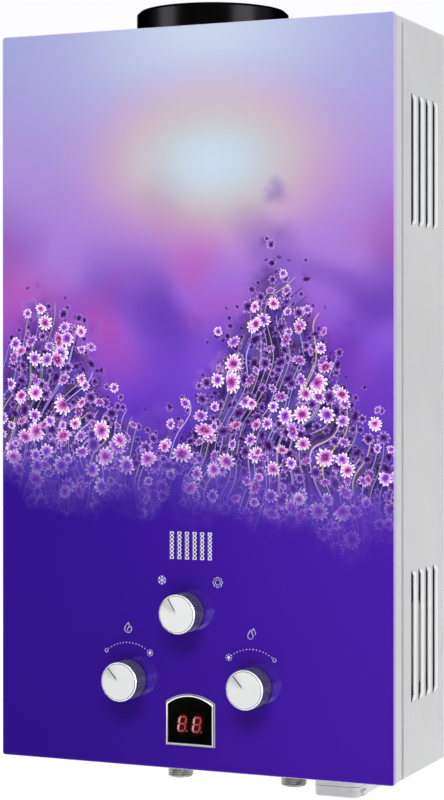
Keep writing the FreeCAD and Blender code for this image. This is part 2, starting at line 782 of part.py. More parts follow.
def casing_shell():
    wide, high = HALF_WIDTH, HALF_HEIGHT
    shell = rounded_block((-wide, wide), (CASE_FRONT, CASE_REAR), (-high, high), "y", CASE_CORNER)
    front_wall = (CASE_FRONT, CASE_FRONT + CASE_SHEET)
    rear_wall = (CASE_REAR - CASE_SHEET, CASE_REAR)
    inner_wide, inner_high = wide - CASE_SHEET, high - CASE_SHEET
    cavity = rounded_block(
        (-inner_wide, inner_wide),
        (front_wall[1], rear_wall[0]),
        (-inner_high, inner_high),
        "y",
        CASE_CORNER - CASE_SHEET,
    )
    mouth_wide = wide - GROOVE_DEPTH + FIT_GAP
    mouth_high = high - GROOVE_DEPTH + FIT_GAP
    mouth = block((-mouth_wide, mouth_wide), widened(front_wall), (-high - CUT_MARGIN, mouth_high))
    open_wide = wide - CASE_RETURN
    rear = block((-open_wide, open_wide), widened(rear_wall), (-high - CUT_MARGIN, high - CASE_RETURN))
    floor_deep = (CASE_FRONT - CUT_MARGIN, CASE_REAR + CUT_MARGIN)
    floor = block((-open_wide, open_wide), floor_deep, (-high - CUT_MARGIN, CUT_MARGIN - inner_high))
    shell = cut_all(shell, [cavity, mouth, rear, floor, neck_notch()])
    tongues = []
    cuts = []
    for side in (-1, 1):
        wall = sorted((side * (wide + CUT_MARGIN), side * (inner_wide - CUT_MARGIN)))
        for middle_z in (-LOUVRE_GROUP_Z, LOUVRE_GROUP_Z):
            for index in range(LOUVRE_COUNT):
                front = GLASS_FRONT + LOUVRE_FIRST + index * LOUVRE_PITCH
                rear_edge = front + LOUVRE_SLOT + LOUVRE_TONGUE
                cuts.append(block(wall, (front, rear_edge), span(middle_z, LOUVRE_LENGTH)))
                tongues.append(louvre_tongue(side, front, middle_z))
    cuts += [screw_hole("y", centre, rear_wall) for centre in rear_screws()]
    cuts += [screw_hole("z", centre, (inner_high, high)) for centre in collar_screws()]
    return joined([shell.cut(Part.makeCompound(cuts))] + tongues)


def bracket(x, z, reach):
    """Folded arm from the back plate to a face at y = reach, with a pad at each end."""
    across = span(x, BRACKET_WIDTH)
    pad = (z, z + BRACKET_PAD)
    parts = [
        block(across, (reach, CASE_REAR), (z, z + BRACKET_SHEET)),
        block(across, (reach, reach + BRACKET_SHEET), pad),
        block(across, (CASE_REAR - BRACKET_SHEET, CASE_REAR), pad),
    ]
    return joined(parts)


def back_plate():
    wide, high = HALF_WIDTH - BACK_INSET, HALF_HEIGHT - BACK_INSET
    wall = (CASE_REAR, 0.0)
    plate = rounded_block((-wide, wide), wall, (-high, high), "y", CASE_CORNER)
    holes = [screw_hole("y", centre, wall) for centre in rear_screws()]
    hole_x, hole_z = HALF_WIDTH - WALL_HOLE_SIDE, HALF_HEIGHT - WALL_HOLE_END
    for x in (-hole_x, hole_x):
        for z in (-hole_z, hole_z):
            holes.append(rod("y", (x, z), widened(wall), WALL_HOLE))
    arms = [
        bracket(-SIDE_KNOB_X, VALVE_BOTTOM + BRACKET_PAD, VALVE_REAR),
        bracket(COLD_INLET_X, VALVE_BOTTOM + BRACKET_PAD, VALVE_REAR),
        bracket(BOX_MIDDLE_X, BOX_TOP - 2 * BRACKET_PAD, BOX_REAR),
    ]
    for x in (-CHAMBER_ARM_X, CHAMBER_ARM_X):
        arms.append(bracket(x, TRAY_BOTTOM + BRACKET_PAD, TRAY_REAR))
        arms.append(bracket(x, CHAMBER_BOTTOM + BRACKET_PAD, CHAMBER_REAR))
        arms.append(bracket(x, HOOD_BOTTOM - 2 * BRACKET_PAD, CHAMBER_REAR))
        arms.append(bracket(x, CHAMBER_TOP, CHAMBER_REAR + FIT_GAP + HOOD_SHEET))
    return joined([plate.cut(Part.makeCompound(holes))] + arms)


def base_plate():
    wide = HALF_WIDTH - CASE_CORNER
    wall = (BASE_UNDER, BASE_TOP)
    floor_end = CASE_REAR - CASE_SHEET - FIT_GAP
    mouth = HALF_WIDTH - CASE_RETURN - FIT_GAP
    parts = [
        block((-wide, wide), (CASE_FRONT + CASE_SHEET + FIT_GAP, floor_end), wall),
        block((-mouth, mouth), (CASE_FRONT, CASE_FRONT + CASE_SHEET + FIT_GAP), wall),
        block((-mouth, mouth), (CASE_FRONT, CASE_FRONT + BASE_SHEET), (-HALF_HEIGHT, BASE_TOP)),
        block((-mouth, mouth), (floor_end, CASE_REAR), wall),
    ]
    opening = block(
        (BOX_LEFT - FIT_GAP, BOX_RIGHT + FIT_GAP), (BOX_FRONT - FIT_GAP, BOX_REAR + FIT_GAP), widened(wall)
    )
    tools = [opening, rod("z", (DRAIN_X, DRAIN_Y), widened(wall), DRAIN_RADIUS + FIT_GAP)]
    for centre in stub_centres():
        tools.append(rod("z", centre, widened(wall), STUB_RADIUS + FIT_GAP))
    tools += [screw_hole("z", centre, wall) for centre in cover_screws()]
    return cut_all(joined(parts), tools)


def flue_collar():
    bottom, top = CASE_TOP, CASE_TOP + COLLAR_HEIGHT
    shelf = PANEL_HEIGHT / 2 + FIT_GAP
    floor = shelf + COLLAR_WALL
    inner = NECK_RADIUS + FIT_GAP
    rim = COLLAR_RADIUS - COLLAR_CHAMFER
    profile = [
        (inner, bottom),
        (COLLAR_FOOT_RADIUS, bottom),
        (COLLAR_FOOT_RADIUS, shelf),
        (COLLAR_RADIUS, shelf),
        (COLLAR_RADIUS, top - COLLAR_CHAMFER),
        (rim, top),
        (rim - COLLAR_RIM, top),
        (rim - COLLAR_RIM, top - COLLAR_WALL),
        (COLLAR_RADIUS - COLLAR_WALL, top - COLLAR_CHAMFER - COLLAR_WALL),
        (COLLAR_RADIUS - COLLAR_WALL, floor),
        (inner, floor),
    ]
    collar = turned(profile, FLUE_X, FLUE_Y)
    return cut_all(collar, [screw_hole("z", centre, (bottom, floor)) for centre in collar_screws()])


def rectangle(x, y, z):
    """Level rectangular outline at a height."""
    corners = [(x[0], y[0]), (x[1], y[0]), (x[1], y[1]), (x[0], y[1]), (x[0], y[0])]
    return Part.makePolygon([Vector(a, b, z) for a, b in corners])


def hood_form(skin, bottom):
    """Skirt and tapered body of the hood, drawn in by a skin."""
    grow = FIT_GAP + HOOD_SHEET - skin
    x = (-CHAMBER_HALF - grow, CHAMBER_HALF + grow)
    y = (CHAMBER_FRONT - grow, CHAMBER_REAR + grow)
    width = 2 * (NECK_RADIUS + HOOD_TOP_BORDER - skin)
    low = rectangle(x, y, HOOD_SHOULDER)
    high = rectangle(span(FLUE_X, width), span(FLUE_Y, width), HOOD_TOP - skin)
    return joined([block(x, y, (bottom, HOOD_SHOULDER)), Part.makeLoft([low, high], True, True)])


def draft_hood():
    body = hood_form(0.0, HOOD_BOTTOM).cut(hood_form(HOOD_SHEET, HOOD_BOTTOM - CUT_MARGIN))
    centre = (FLUE_X, FLUE_Y)
    neck_top = CASE_TOP + NECK_RISE
    neck = rod("z", centre, (HOOD_TOP - HOOD_SHEET, neck_top), NECK_RADIUS)
    bore = rod("z", centre, widened((HOOD_TOP - HOOD_SHEET, neck_top)), NECK_RADIUS - HOOD_SHEET)
    rear_wall = (CHAMBER_REAR + FIT_GAP, CHAMBER_REAR + FIT_GAP + HOOD_SHEET)
    spill_top = HOOD_SHOULDER - SPILL_DROP
    spill = block(span(0, SPILL_WIDTH), widened(rear_wall), (spill_top - SPILL_HEIGHT, spill_top))
    return cut_all(joined([body, neck]), [bore, spill])


def tube_centres():
    """Depth and height of each heat-exchanger tube, in the order the water takes."""
    low = FIN_BOTTOM + TUBE_LOW
    high = low + TUBE_ROW_RISE
    return [
        (CHAMBER_MIDDLE - TUBE_PITCH, low),
        (CHAMBER_MIDDLE, low),
        (CHAMBER_MIDDLE + TUBE_PITCH, low),
        (CHAMBER_MIDDLE + TUBE_PITCH / 2, high),
        (CHAMBER_MIDDLE - TUBE_PITCH / 2, high),
    ]


def tube_holes(wall):
    """Holes that the heat-exchanger tubes fit, through a wall."""
    return [rod("x", centre, widened(wall), PIPE_RADIUS + RUNNING_GAP) for centre in tube_centres()]


def combustion_chamber():
    x = (-CHAMBER_HALF, CHAMBER_HALF)
    y = (CHAMBER_FRONT, CHAMBER_REAR)
    z = (CHAMBER_BOTTOM, CHAMBER_TOP)
    inner_x = (x[0] + CHAMBER_SHEET, x[1] - CHAMBER_SHEET)
    inner_y = (y[0] + CHAMBER_SHEET, y[1] - CHAMBER_SHEET)
    outer = rounded_block(x, y, z, "z", CHAMBER_CORNER)
    inner = rounded_block(inner_x, inner_y, widened(z), "z", CHAMBER_CORNER - CHAMBER_SHEET)
    return cut_all(outer, [inner] + tube_holes(x))


def fin_block():
    room = CHAMBER_WIDTH - 2 * CHAMBER_SHEET
    pitch = room / FIN_COUNT
    y = (CHAMBER_FRONT + CHAMBER_SHEET, CHAMBER_REAR - CHAMBER_SHEET)
    fins = []
    for index in range(FIN_COUNT):
        x = span(-room / 2 + pitch * (index + 0.5), FIN_THICKNESS)
        fin = block(x, y, (FIN_BOTTOM, FIN_BOTTOM + FIN_HEIGHT))
        fins.append(fin.cut(Part.makeCompound(tube_holes(x))))
    return Part.makeCompound(fins)


def exchanger_path():
    """Line of the tube that passes to and fro through the fins."""
    centres = tube_centres()
    first_y, first_z = centres[0]
    start = Vector(COIL_X, COIL_FRONT_Y, FIN_BOTTOM)
    corner = Vector(COIL_X, COIL_FRONT_Y, first_z)
    turn = Vector(COIL_X, first_y, first_z)
    entry = bent_path([start, corner, turn, Vector(-CHAMBER_HALF, first_y, first_z)], PIPE_BEND)
    edges = list(entry.Edges)
    side = -1
    for (y0, z0), (y1, z1) in zip(centres, centres[1:]):
        here = Vector(side * CHAMBER_HALF, y0, z0)
        there = Vector(side * CHAMBER_HALF, y1, z1)
        crown = (here + there) * 0.5 + Vector(side * (there - here).Length / 2, 0, 0)
        reach = TUBE_X if (y1, z1) == centres[-1] else CHAMBER_HALF
        edges.append(Part.Arc(here, crown, there).toShape())
        edges.append(Part.LineSegment(there, Vector(-side * reach, y1, z1)).toShape())
        side = -side
    return Part.Wire(edges), start


def exchanger_tubes():
    path, start = exchanger_path()
    outer = swept(path, start, AXES["z"], PIPE_RADIUS)
    return outer.cut(swept(path, start, AXES["z"], PIPE_RADIUS - PIPE_WALL))


def chamber_coil():
    corners = (
        (COIL_X, COIL_REAR_Y, COIL_SIDE_RISE),
        (-COIL_X, COIL_REAR_Y, COIL_FACE_RISE),
        (-COIL_X, COIL_FRONT_Y, COIL_SIDE_RISE),
        (COIL_X, COIL_FRONT_Y, COIL_FACE_RISE),
    )
    z = CHAMBER_BOTTOM + COIL_START
    points = [(COIL_X, PORT_Y, COLD_UNION_Z), (COIL_X, PORT_Y, z)]
    for _ in range(COIL_TURNS):
        for x, y, rise in corners:
            z += rise
            points.append((x, y, z))
    points.append((COIL_X, COIL_FRONT_Y, FIN_BOTTOM))
    return bent_pipe(points, PIPE_BEND)


def blade_places():
    """Places of the burner blades along X."""
    first = -BLADE_PITCH * (BLADE_COUNT - 1) / 2
    return [first + index * BLADE_PITCH for index in range(BLADE_COUNT)]


def burner_blades():
    y = (TRAY_FRONT + TRAY_SHEET, TRAY_REAR - TRAY_SHEET)
    x = span(0, BLADE_WIDTH)
    head_bottom = BLADE_TOP - BLADE_HEAD
    throat_centre = (0, SEASON_KNOB_Z)
    parts = [
        block(x, y, (head_bottom, BLADE_TOP)),
        block(span(0, BLADE_WEB), y, (TRAY_BOTTOM + TRAY_SHEET, head_bottom)),
        rod("y", throat_centre, y, BLADE_THROAT),
    ]
    mouth = (y[0] - CUT_MARGIN, y[1] - TRAY_LEDGE)
    tools = [rod("y", throat_centre, mouth, BLADE_THROAT - BLADE_WALL)]
    pitch = (y[1] - y[0]) / BLADE_PORTS
    port_x = (x[0] + BLADE_WALL, x[1] - BLADE_WALL)
    for index in range(BLADE_PORTS):
        port_y = span(y[0] + pitch * (index + 0.5), PORT_WIDTH)
        tools.append(block(port_x, port_y, (BLADE_TOP - PORT_DEPTH, BLADE_TOP + CUT_MARGIN)))
    blade = cut_all(joined(parts), tools)
    return Part.makeCompound([blade.translated(Vector(place, 0, 0)) for place in blade_places()])


def burner_tray():
    wall = (TRAY_FRONT, TRAY_FRONT + TRAY_SHEET)
    tray = block((-TRAY_HALF, TRAY_HALF), (TRAY_FRONT, TRAY_REAR), (TRAY_BOTTOM, TRAY_TOP))
    inner_x = (TRAY_SHEET - TRAY_HALF, TRAY_HALF - TRAY_SHEET)
    inner_y = (wall[1], TRAY_REAR - TRAY_SHEET)
    floor = (TRAY_BOTTOM, TRAY_BOTTOM + TRAY_SHEET)
    inner = block(inner_x, inner_y, (floor[1], TRAY_TOP + CUT_MARGIN))
    vent = block(inner_x, (inner_y[0] + TRAY_LEDGE, inner_y[1] - TRAY_LEDGE), widened(floor))
    tools = [inner, vent]
    for x in blade_places():
        tools.append(rod("y", (x, SEASON_KNOB_Z), widened(wall), BLADE_THROAT - BLADE_WALL))
    for index in (SPARK_GAP_INDEX, FLAME_GAP_INDEX):
        centre = (index * BLADE_PITCH, ELECTRODE_Z)
        tools.append(rod("y", centre, widened(wall), CERAMIC_RADIUS + RUNNING_GAP))
    return cut_all(tray, tools)


def gas_manifold():
    y = (MANIFOLD_FRONT, MANIFOLD_REAR)
    z = span(SEASON_KNOB_Z, MANIFOLD_SIZE)
    centre = (-SIDE_KNOB_X, MANIFOLD_MIDDLE)
    riser = rod("z", centre, (GAS_TOP, z[0] + MANIFOLD_WALL), MANIFOLD_SIZE / 2)
    riser_bore = (GAS_TOP - CUT_MARGIN, z[0] + 2 * MANIFOLD_WALL)
    bars = []
    for side in (-1, 1):
        inner_end = side * SEASON_BODY_WIDTH / 2
        outer_end = side * MANIFOLD_REACH
        bar = block(sorted((inner_end, outer_end)), y, z)
        if side < 0:
            bar = joined([bar, riser])
            bar = bar.cut(rod("z", centre, riser_bore, MANIFOLD_SIZE / 2 - MANIFOLD_WALL))
        hollow = block(
            sorted((inner_end - side * CUT_MARGIN, outer_end - side * MANIFOLD_WALL)),
            (y[0] + MANIFOLD_WALL, y[1] - MANIFOLD_WALL),
            (z[0] + MANIFOLD_WALL, z[1] - MANIFOLD_WALL),
        )
        bars.append(bar.cut(hollow))
    return Part.makeCompound(bars)


def gas_nozzles():
    end = MANIFOLD_REAR + NOZZLE_LENGTH
    nozzles = []
    for x in blade_places():
        centre = (x, SEASON_KNOB_Z)
        body = hexagon("y", centre, (MANIFOLD_REAR, end - NOZZLE_TIP), NOZZLE_FLATS)
        tip = rod("y", centre, (end - NOZZLE_TIP, end), NOZZLE_TIP_RADIUS)
        jet = rod("y", centre, widened((MANIFOLD_REAR, end)), NOZZLE_HOLE)
        nozzles.append(joined([body, tip]).cut(jet))
    return Part.makeCompound(nozzles)


def plug_bore(x, z, rear):
    """Bore that a control spindle's plug turns in, from the valve's front to a depth."""
    return rod("y", (x, z), (VALVE_FRONT - CUT_MARGIN, rear), PLUG_RADIUS + RUNNING_GAP)


def season_valve_body():
    x = span(0, SEASON_BODY_WIDTH)
    z = span(SEASON_KNOB_Z, SEASON_BODY_HEIGHT)
    body = rounded_block(x, (VALVE_FRONT, MANIFOLD_REAR), z, "y", VALVE_CORNER)
    port = MANIFOLD_SIZE / 2 - MANIFOLD_WALL
    tools = [
        plug_bore(SEASON_KNOB_X, SEASON_KNOB_Z, VALVE_FRONT + PLUG_INSET + PLUG_LENGTH + FIT_GAP),
        rod("x", (MANIFOLD_MIDDLE, SEASON_KNOB_Z), widened(x), port),
    ]
    return cut_all(body, tools)


def gland_nuts():
    nuts = []
    for _, x, z, _ in SPINDLES:
        limits = (VALVE_FRONT - GLAND_LENGTH, VALVE_FRONT)
        nuts.append(hex_nut("y", (x, z), limits, GLAND_FLATS, SHAFT_RADIUS + RUNNING_GAP))
    return Part.makeCompound(nuts)


def spindle(x, z):
    """Control spindle: a flatted shaft in front and the valve's drilled plug behind."""
    plug = (VALVE_FRONT + PLUG_INSET, VALVE_FRONT + PLUG_INSET + PLUG_LENGTH)
    shaft = rod("y", (x, z), (SHAFT_FRONT, plug[0]), SHAFT_RADIUS)
    flat = block(
        span(x, 4 * SHAFT_RADIUS),
        (SHAFT_FRONT - CUT_MARGIN, SHAFT_FRONT + SHAFT_GRIP),
        (z + SHAFT_FLAT, z + 2 * SHAFT_RADIUS),
    )
    body = joined([shaft.cut(flat), rod("y", (x, z), plug, PLUG_RADIUS)])
    centre = (x, (plug[0] + plug[1]) / 2)
    return body.cut(rod("z", centre, widened(span(z, 2 * PLUG_RADIUS)), PLUG_PORT))


def knob(x, z):
    """Hollow knob with a knurled side, a bevelled rim, a recessed face and a flatted hub."""
    points = []
    for index in range(2 * KNOB_TEETH + 1):
        angle = math.pi * index / KNOB_TEETH
        radius = KNOB_RADIUS - (KNOB_TOOTH if index % 2 else 0.0)
        points.append(Vector(x + radius * math.sin(angle), KNOB_BACK, z + radius * math.cos(angle)))
    side = Part.Face(Part.makePolygon(points)).extrude(Vector(0, -KNOB_LENGTH, 0))
    face_radius = KNOB_RADIUS - KNOB_FACE_BEVEL
    face_centre = Vector(x, KNOB_FRONT, z)
    bevel = Part.makeCone(face_radius, face_radius + KNOB_LENGTH, KNOB_LENGTH, face_centre, AXES["y"])
    recess = (KNOB_FRONT - CUT_MARGIN, KNOB_FRONT + CAP_THICKNESS - CAP_PROUD)
    hollow = (SHAFT_FRONT, KNOB_BACK + CUT_MARGIN)
    bore = rod("y", (x, z), hollow, SHAFT_RADIUS + RUNNING_GAP)
    flat_z = (z + SHAFT_FLAT + RUNNING_GAP, z + 2 * SHAFT_RADIUS)
    flat = block(span(x, 4 * SHAFT_RADIUS), (SHAFT_FRONT, SHAFT_FRONT + SHAFT_GRIP - RUNNING_GAP), flat_z)
    tools = [
        rod("y", (x, z), recess, CAP_RADIUS + RUNNING_GAP),
        ring("y", (x, z), hollow, KNOB_RADIUS - KNOB_WALL, KNOB_HUB),
        bore.cut(flat),
    ]
    return cut_all(side.common(bevel), tools)


def knob_cap(x, z, angle):
    """Face disc of a knob, with its pointer line cut at the angle it rests at."""
    front = KNOB_FRONT - CAP_PROUD
    disc = rod("y", (x, z), (front, front + CAP_THICKNESS), CAP_RADIUS)
    line = block(
        span(0, MARK_WIDTH), (front - CUT_MARGIN, front + MARK_DEPTH), (MARK_START, CAP_RADIUS + CUT_MARGIN)
    )
    line.rotate(Vector(0, 0, 0), AXES["y"], angle)
    line.translate(Vector(x, 0, z))
    return disc.cut(line)


def gas_valve_body():
    x = (GAS_LEFT, GAS_RIGHT)
    body = rounded_block(x, (VALVE_FRONT, VALVE_REAR), (VALVE_BOTTOM, GAS_TOP), "y", VALVE_CORNER)
    centre = (PORT_Y, ROD_Z)
    room = (POPPET_X - ROD_TRAVEL - POPPET_ROOM, POPPET_X + POPPET_WIDTH + POPPET_ROOM)
    room_radius = POPPET_RADIUS + POPPET_ROOM / 2
    passage_z = (ROD_Z - room_radius, ROD_Z - ROD_RADIUS - PASSAGE_ROD_GAP)
    outlet = (-SIDE_KNOB_X, PORT_Y - PLUG_RADIUS)
    tools = [
        rod("x", centre, room, room_radius),
        rod("x", centre, (room[1], GAS_RIGHT + CUT_MARGIN), ROD_RADIUS + RUNNING_GAP),
        rod("z", (GAS_INLET_X, PORT_Y), (VALVE_BOTTOM - CUT_MARGIN, passage_z[1]), GAS_INLET_BORE),
        block((POPPET_X, GAS_INLET_X), span(PORT_Y, GAS_PASSAGE), passage_z),
        plug_bore(-SIDE_KNOB_X, SIDE_KNOB_Z, PORT_Y),
        rod("z", outlet, (ROD_Z, SIDE_KNOB_Z), GAS_OUTLET_BORE),
        rod("z", (-SIDE_KNOB_X, MANIFOLD_MIDDLE), (SIDE_KNOB_Z, GAS_TOP + CUT_MARGIN), GAS_OUTLET_BORE),
    ]
    return cut_all(body, tools)


def connection_stub(centre, top):
    """Pipe connection: threaded end and relief below, flange on the base, hexagon and neck above."""
    flange_top = BASE_TOP + STUB_FLANGE
    hex_top = flange_top + STUB_HEX_LENGTH
    thread_top = BASE_TOP - BASE_SHEET - STUB_RELIEF
    parts = [
        rod("z", centre, (STUB_BOTTOM, thread_top), STUB_RADIUS),
        rod("z", centre, (thread_top, BASE_TOP), STUB_RELIEF_RADIUS),
        rod("z", centre, (BASE_TOP, flange_top), STUB_FLANGE_RADIUS),
        hexagon("z", centre, (flange_top, hex_top), STUB_HEX_FLATS),
        rod("z", centre, (hex_top, top), STUB_NECK),
    ]
    return joined(parts).cut(rod("z", centre, widened((STUB_BOTTOM, top)), STUB_BORE))


def solenoid_valve():
    centre = (PORT_Y, SOLENOID_Z)
    left, right = SOLENOID_LEFT, GAS_LEFT
    y, z = span(PORT_Y, SOLENOID_PLATE), span(SOLENOID_Z, SOLENOID_PLATE)
    parts = [
        rod("x", centre, (left, right), SOLENOID_RADIUS),
        block((left, left + SOLENOID_SHEET), y, z),
        block((right - SOLENOID_SHEET, right), y, z),
        block((left, right), y, (z[1] - SOLENOID_SHEET, z[1])),
    ]
    return joined(parts)


def water_valve_body():
    x = (WATER_BLOCK_LEFT, WATER_RIGHT)
    centre = (PORT_Y, ROD_Z)
    body = rounded_block(x, (VALVE_FRONT, VALVE_REAR), (VALVE_BOTTOM, WATER_TOP), "y", VALVE_CORNER)
    disc = rod("x", centre, (DISC_LEFT, WATER_BLOCK_LEFT), DIAPHRAGM_RADIUS)
    cavity = (DISC_LEFT - CUT_MARGIN, WATER_BLOCK_LEFT - COVER_FLOOR)
    tools = [
        rod("x", centre, cavity, DIAPHRAGM_RADIUS - DIAPHRAGM_RIM),
        rod("x", centre, (cavity[0], COLD_OUTLET_X), WATER_BORE),
        rod("z", (COLD_INLET_X, PORT_Y), (VALVE_BOTTOM - CUT_MARGIN, ROD_Z), WATER_BORE),
        rod("z", (COLD_OUTLET_X, PORT_Y), (ROD_Z, WATER_TOP + CUT_MARGIN), WATER_BORE),
        plug_bore(SIDE_KNOB_X, SIDE_KNOB_Z, PORT_Y),
    ]
    return cut_all(joined([body, disc]), tools)


def water_valve_cover():
    centre = (PORT_Y, ROD_Z)
    cover = rod("x", centre, (WATER_LEFT, COVER_RIGHT), DIAPHRAGM_RADIUS)
    room = (COVER_RIGHT - COVER_ROOM, COVER_RIGHT + CUT_MARGIN)
    bore = (WATER_LEFT - CUT_MARGIN, COVER_RIGHT)
    tools = [
        rod("x", centre, room, DIAPHRAGM_RADIUS - DIAPHRAGM_RIM),
        rod("x", centre, bore, ROD_RADIUS + RUNNING_GAP),
    ]
    return cut_all(cover, tools)


def diaphragm():
    return rod("x", (PORT_Y, ROD_Z), (COVER_RIGHT, DISC_LEFT), DIAPHRAGM_RADIUS)


def push_rod():
    centre = (PORT_Y, ROD_Z)
    parts = [
        rod("x", centre, (POPPET_X, COVER_RIGHT), ROD_RADIUS),
        rod("x", centre, (COVER_RIGHT - ROD_PLATE, COVER_RIGHT), ROD_PLATE_RADIUS),
        rod("x", centre, (ROD_COLLAR_X, ROD_COLLAR_X + ROD_COLLAR_WIDTH), ROD_COLLAR_RADIUS),
        rod("x", centre, (POPPET_X, POPPET_X + POPPET_WIDTH), POPPET_RADIUS),
    ]
    return joined(parts)


def rod_spring():
    """Open coil spring on the push rod, between the gas valve and the rod's collar.

    It is made of half turns that tilt one way and then the other, so their ends meet squarely.
    """
    start = GAS_RIGHT + SPRING_WIRE + FIT_GAP
    length = ROD_COLLAR_X - SPRING_WIRE - FIT_GAP - start
    halves = 2 * SPRING_TURNS
    rise = length / halves
    coils = []
    for index in range(halves):
        side = 1 - 2 * (index % 2)
        begin = Vector(start + index * rise, PORT_Y, ROD_Z + side * SPRING_RADIUS)
        end = Vector(begin.x + rise, PORT_Y, ROD_Z - side * SPRING_RADIUS)
        section = Part.Face(Part.Wire(Part.makeCircle(SPRING_WIRE, begin, AXES["y"])))
        turning = (end - begin).cross(AXES["y"]) * -side
        coils.append(section.revolve((begin + end) * 0.5, turning, 180))
    return joined(coils)


def microswitch():
    y = (SWITCH_FRONT, SWITCH_FRONT + SWITCH_DEPTH)
    left = SWITCH_RIGHT - SWITCH_WIDTH
    lug_z = span(SWITCH_Z + SWITCH_HEIGHT / 2, SWITCH_LUG)
    ear_x = (SWITCH_RIGHT, LEVER_X + LEVER_EYE)
    ear_z = span(LEVER_Z, 2 * LEVER_EYE)
    parts = [
        block((left, SWITCH_RIGHT), y, (SWITCH_Z, SWITCH_Z + SWITCH_HEIGHT)),
        block((GAS_RIGHT, left), y, lug_z),
        block(ear_x, (y[0], y[0] + LEVER_EAR), ear_z),
        block(ear_x, (y[1] - LEVER_EAR, y[1]), ear_z),
        rod("y", (LEVER_X, LEVER_Z), y, LEVER_PIN),
    ]
    return joined(parts)


def switch_lever():
    y = span(SWITCH_FRONT + SWITCH_DEPTH / 2, LEVER_WIDTH)
    eye = rod("y", (LEVER_X, LEVER_Z), y, LEVER_EYE)
    strip = block(span(LEVER_X, LEVER_THICKNESS), y, (LEVER_Z - LEVER_LENGTH, LEVER_Z))
    return joined([eye, strip]).cut(rod("y", (LEVER_X, LEVER_Z), widened(y), LEVER_PIN + RUNNING_GAP))


def drain_plug():
    centre = (DRAIN_X, DRAIN_Y)
    shank = rod("z", centre, (DRAIN_BOTTOM, VALVE_BOTTOM), DRAIN_SHANK)
    head = rod("z", centre, (DRAIN_BOTTOM, DRAIN_BOTTOM + DRAIN_HEAD), DRAIN_RADIUS)
    slot_z = widened((DRAIN_BOTTOM, DRAIN_BOTTOM))
    slot = block(span(DRAIN_X, DRAIN_SLOT), widened(span(DRAIN_Y, 2 * DRAIN_RADIUS)), slot_z)
    return joined([shank, head]).cut(slot)


def cold_pipe():
    level = TRAY_BOTTOM - COLD_PIPE_DROP
    points = [
        (COLD_OUTLET_X, PORT_Y, WATER_TOP),
        (COLD_OUTLET_X, PORT_Y, level),
        (COIL_X, PORT_Y, level),
        (COIL_X, PORT_Y, COLD_UNION_Z),
    ]
    return bent_pipe(points, PIPE_BEND)


def hot_pipe():
    y, z = tube_centres()[-1]
    foot = HOT_STUB_TOP + HOT_PIPE_FOOT
    points = [
        (-TUBE_X, y, z),
        (HOT_PIPE_X, y, z),
        (HOT_PIPE_X, y, foot + HOT_PIPE_SLANT),
        (HOT_OUTLET_X, HOT_OUTLET_Y, foot),
        (HOT_OUTLET_X, HOT_OUTLET_Y, HOT_STUB_TOP),
    ]
    return bent_pipe(points, PIPE_BEND)


def pipe_nuts():
    bore = PIPE_RADIUS + RUNNING_GAP
    cold_end = (WATER_TOP, WATER_TOP + HALF_NUT_LENGTH)
    hot_end = (HOT_STUB_TOP, HOT_STUB_TOP + HALF_NUT_LENGTH)
    nuts = [
        hex_nut("z", (COLD_OUTLET_X, PORT_Y), cold_end, NUT_FLATS, bore),
        hex_nut("z", (COIL_X, PORT_Y), span(COLD_UNION_Z, NUT_LENGTH), UNION_FLATS, bore),
        hex_nut("x", tube_centres()[-1], span(-TUBE_X, NUT_LENGTH), NUT_FLATS, bore),
        hex_nut("z", (HOT_OUTLET_X, HOT_OUTLET_Y), hot_end, NUT_FLATS, bore),
    ]
    return Part.makeCompound(nuts)


def igniter_box():
    x = (IGNITER_LEFT, IGNITER_RIGHT)
    y = (IGNITER_FRONT, CASE_REAR)
    z = (IGNITER_BOTTOM, IGNITER_TOP)
    body = rounded_block(x, y, z, "y", IGNITER_CORNER)
    seam_y = (IGNITER_FRONT + IGNITER_SEAM_PLACE, IGNITER_FRONT + IGNITER_SEAM_PLACE + IGNITER_SEAM)
    depth = IGNITER_SEAM_DEPTH
    core = block((x[0] + depth, x[1] - depth), widened(seam_y), (z[0] + depth, z[1] - depth))
    return body.cut(block(widened(x), seam_y, widened(z)).cut(core))


def electrode(index):
    """Ceramic body through the tray's front wall, with a wire that ends over the burner."""
    x = index * BLADE_PITCH
    centre = (x, ELECTRODE_Z)
    end = CERAMIC_REAR + ELECTRODE_RUN
    wire = [(x, TRAY_FRONT, ELECTRODE_Z), (x, end, ELECTRODE_Z), (x, end, ELECTRODE_Z + ELECTRODE_RISE)]
    parts = [
        rod("y", centre, (CERAMIC_FRONT, CERAMIC_REAR), CERAMIC_RADIUS),
        rod("y", centre, (TRAY_FRONT - CERAMIC_FLANGE, TRAY_FRONT), CERAMIC_FLANGE_RADIUS),
        bent_bar(wire, CERAMIC_RADIUS, ELECTRODE_WIRE),
    ]
    return joined(parts)


def disc_thermostat(centre, seat):
    """Snap-disc thermostat with a flange, on an upright wall to its left."""
    flange = rod("x", centre, (seat, seat + SENSOR_FLANGE), SENSOR_FLANGE_RADIUS)
    return joined([flange, rod("x", centre, (seat, seat + SENSOR_HEIGHT), SENSOR_RADIUS)])


def disc_thermostats():
    overheat = disc_thermostat((CHAMBER_MIDDLE, THERMOSTAT_Z), CHAMBER_HALF)
    flue = disc_thermostat((CHAMBER_MIDDLE, FLUE_SENSOR_Z), HOOD_FACE)
    return Part.makeCompound([overheat, flue])


def wire_x(index):
    """Place along the igniter box of one thin lead."""
    return IGNITER_LEFT + WIRE_FIRST + index * WIRE_PITCH


def wire_z(index):
    """Height of one level run of a thin lead, under the burner tray."""
    return TRAY_BOTTOM - (index + 0.5) * WIRE_PITCH


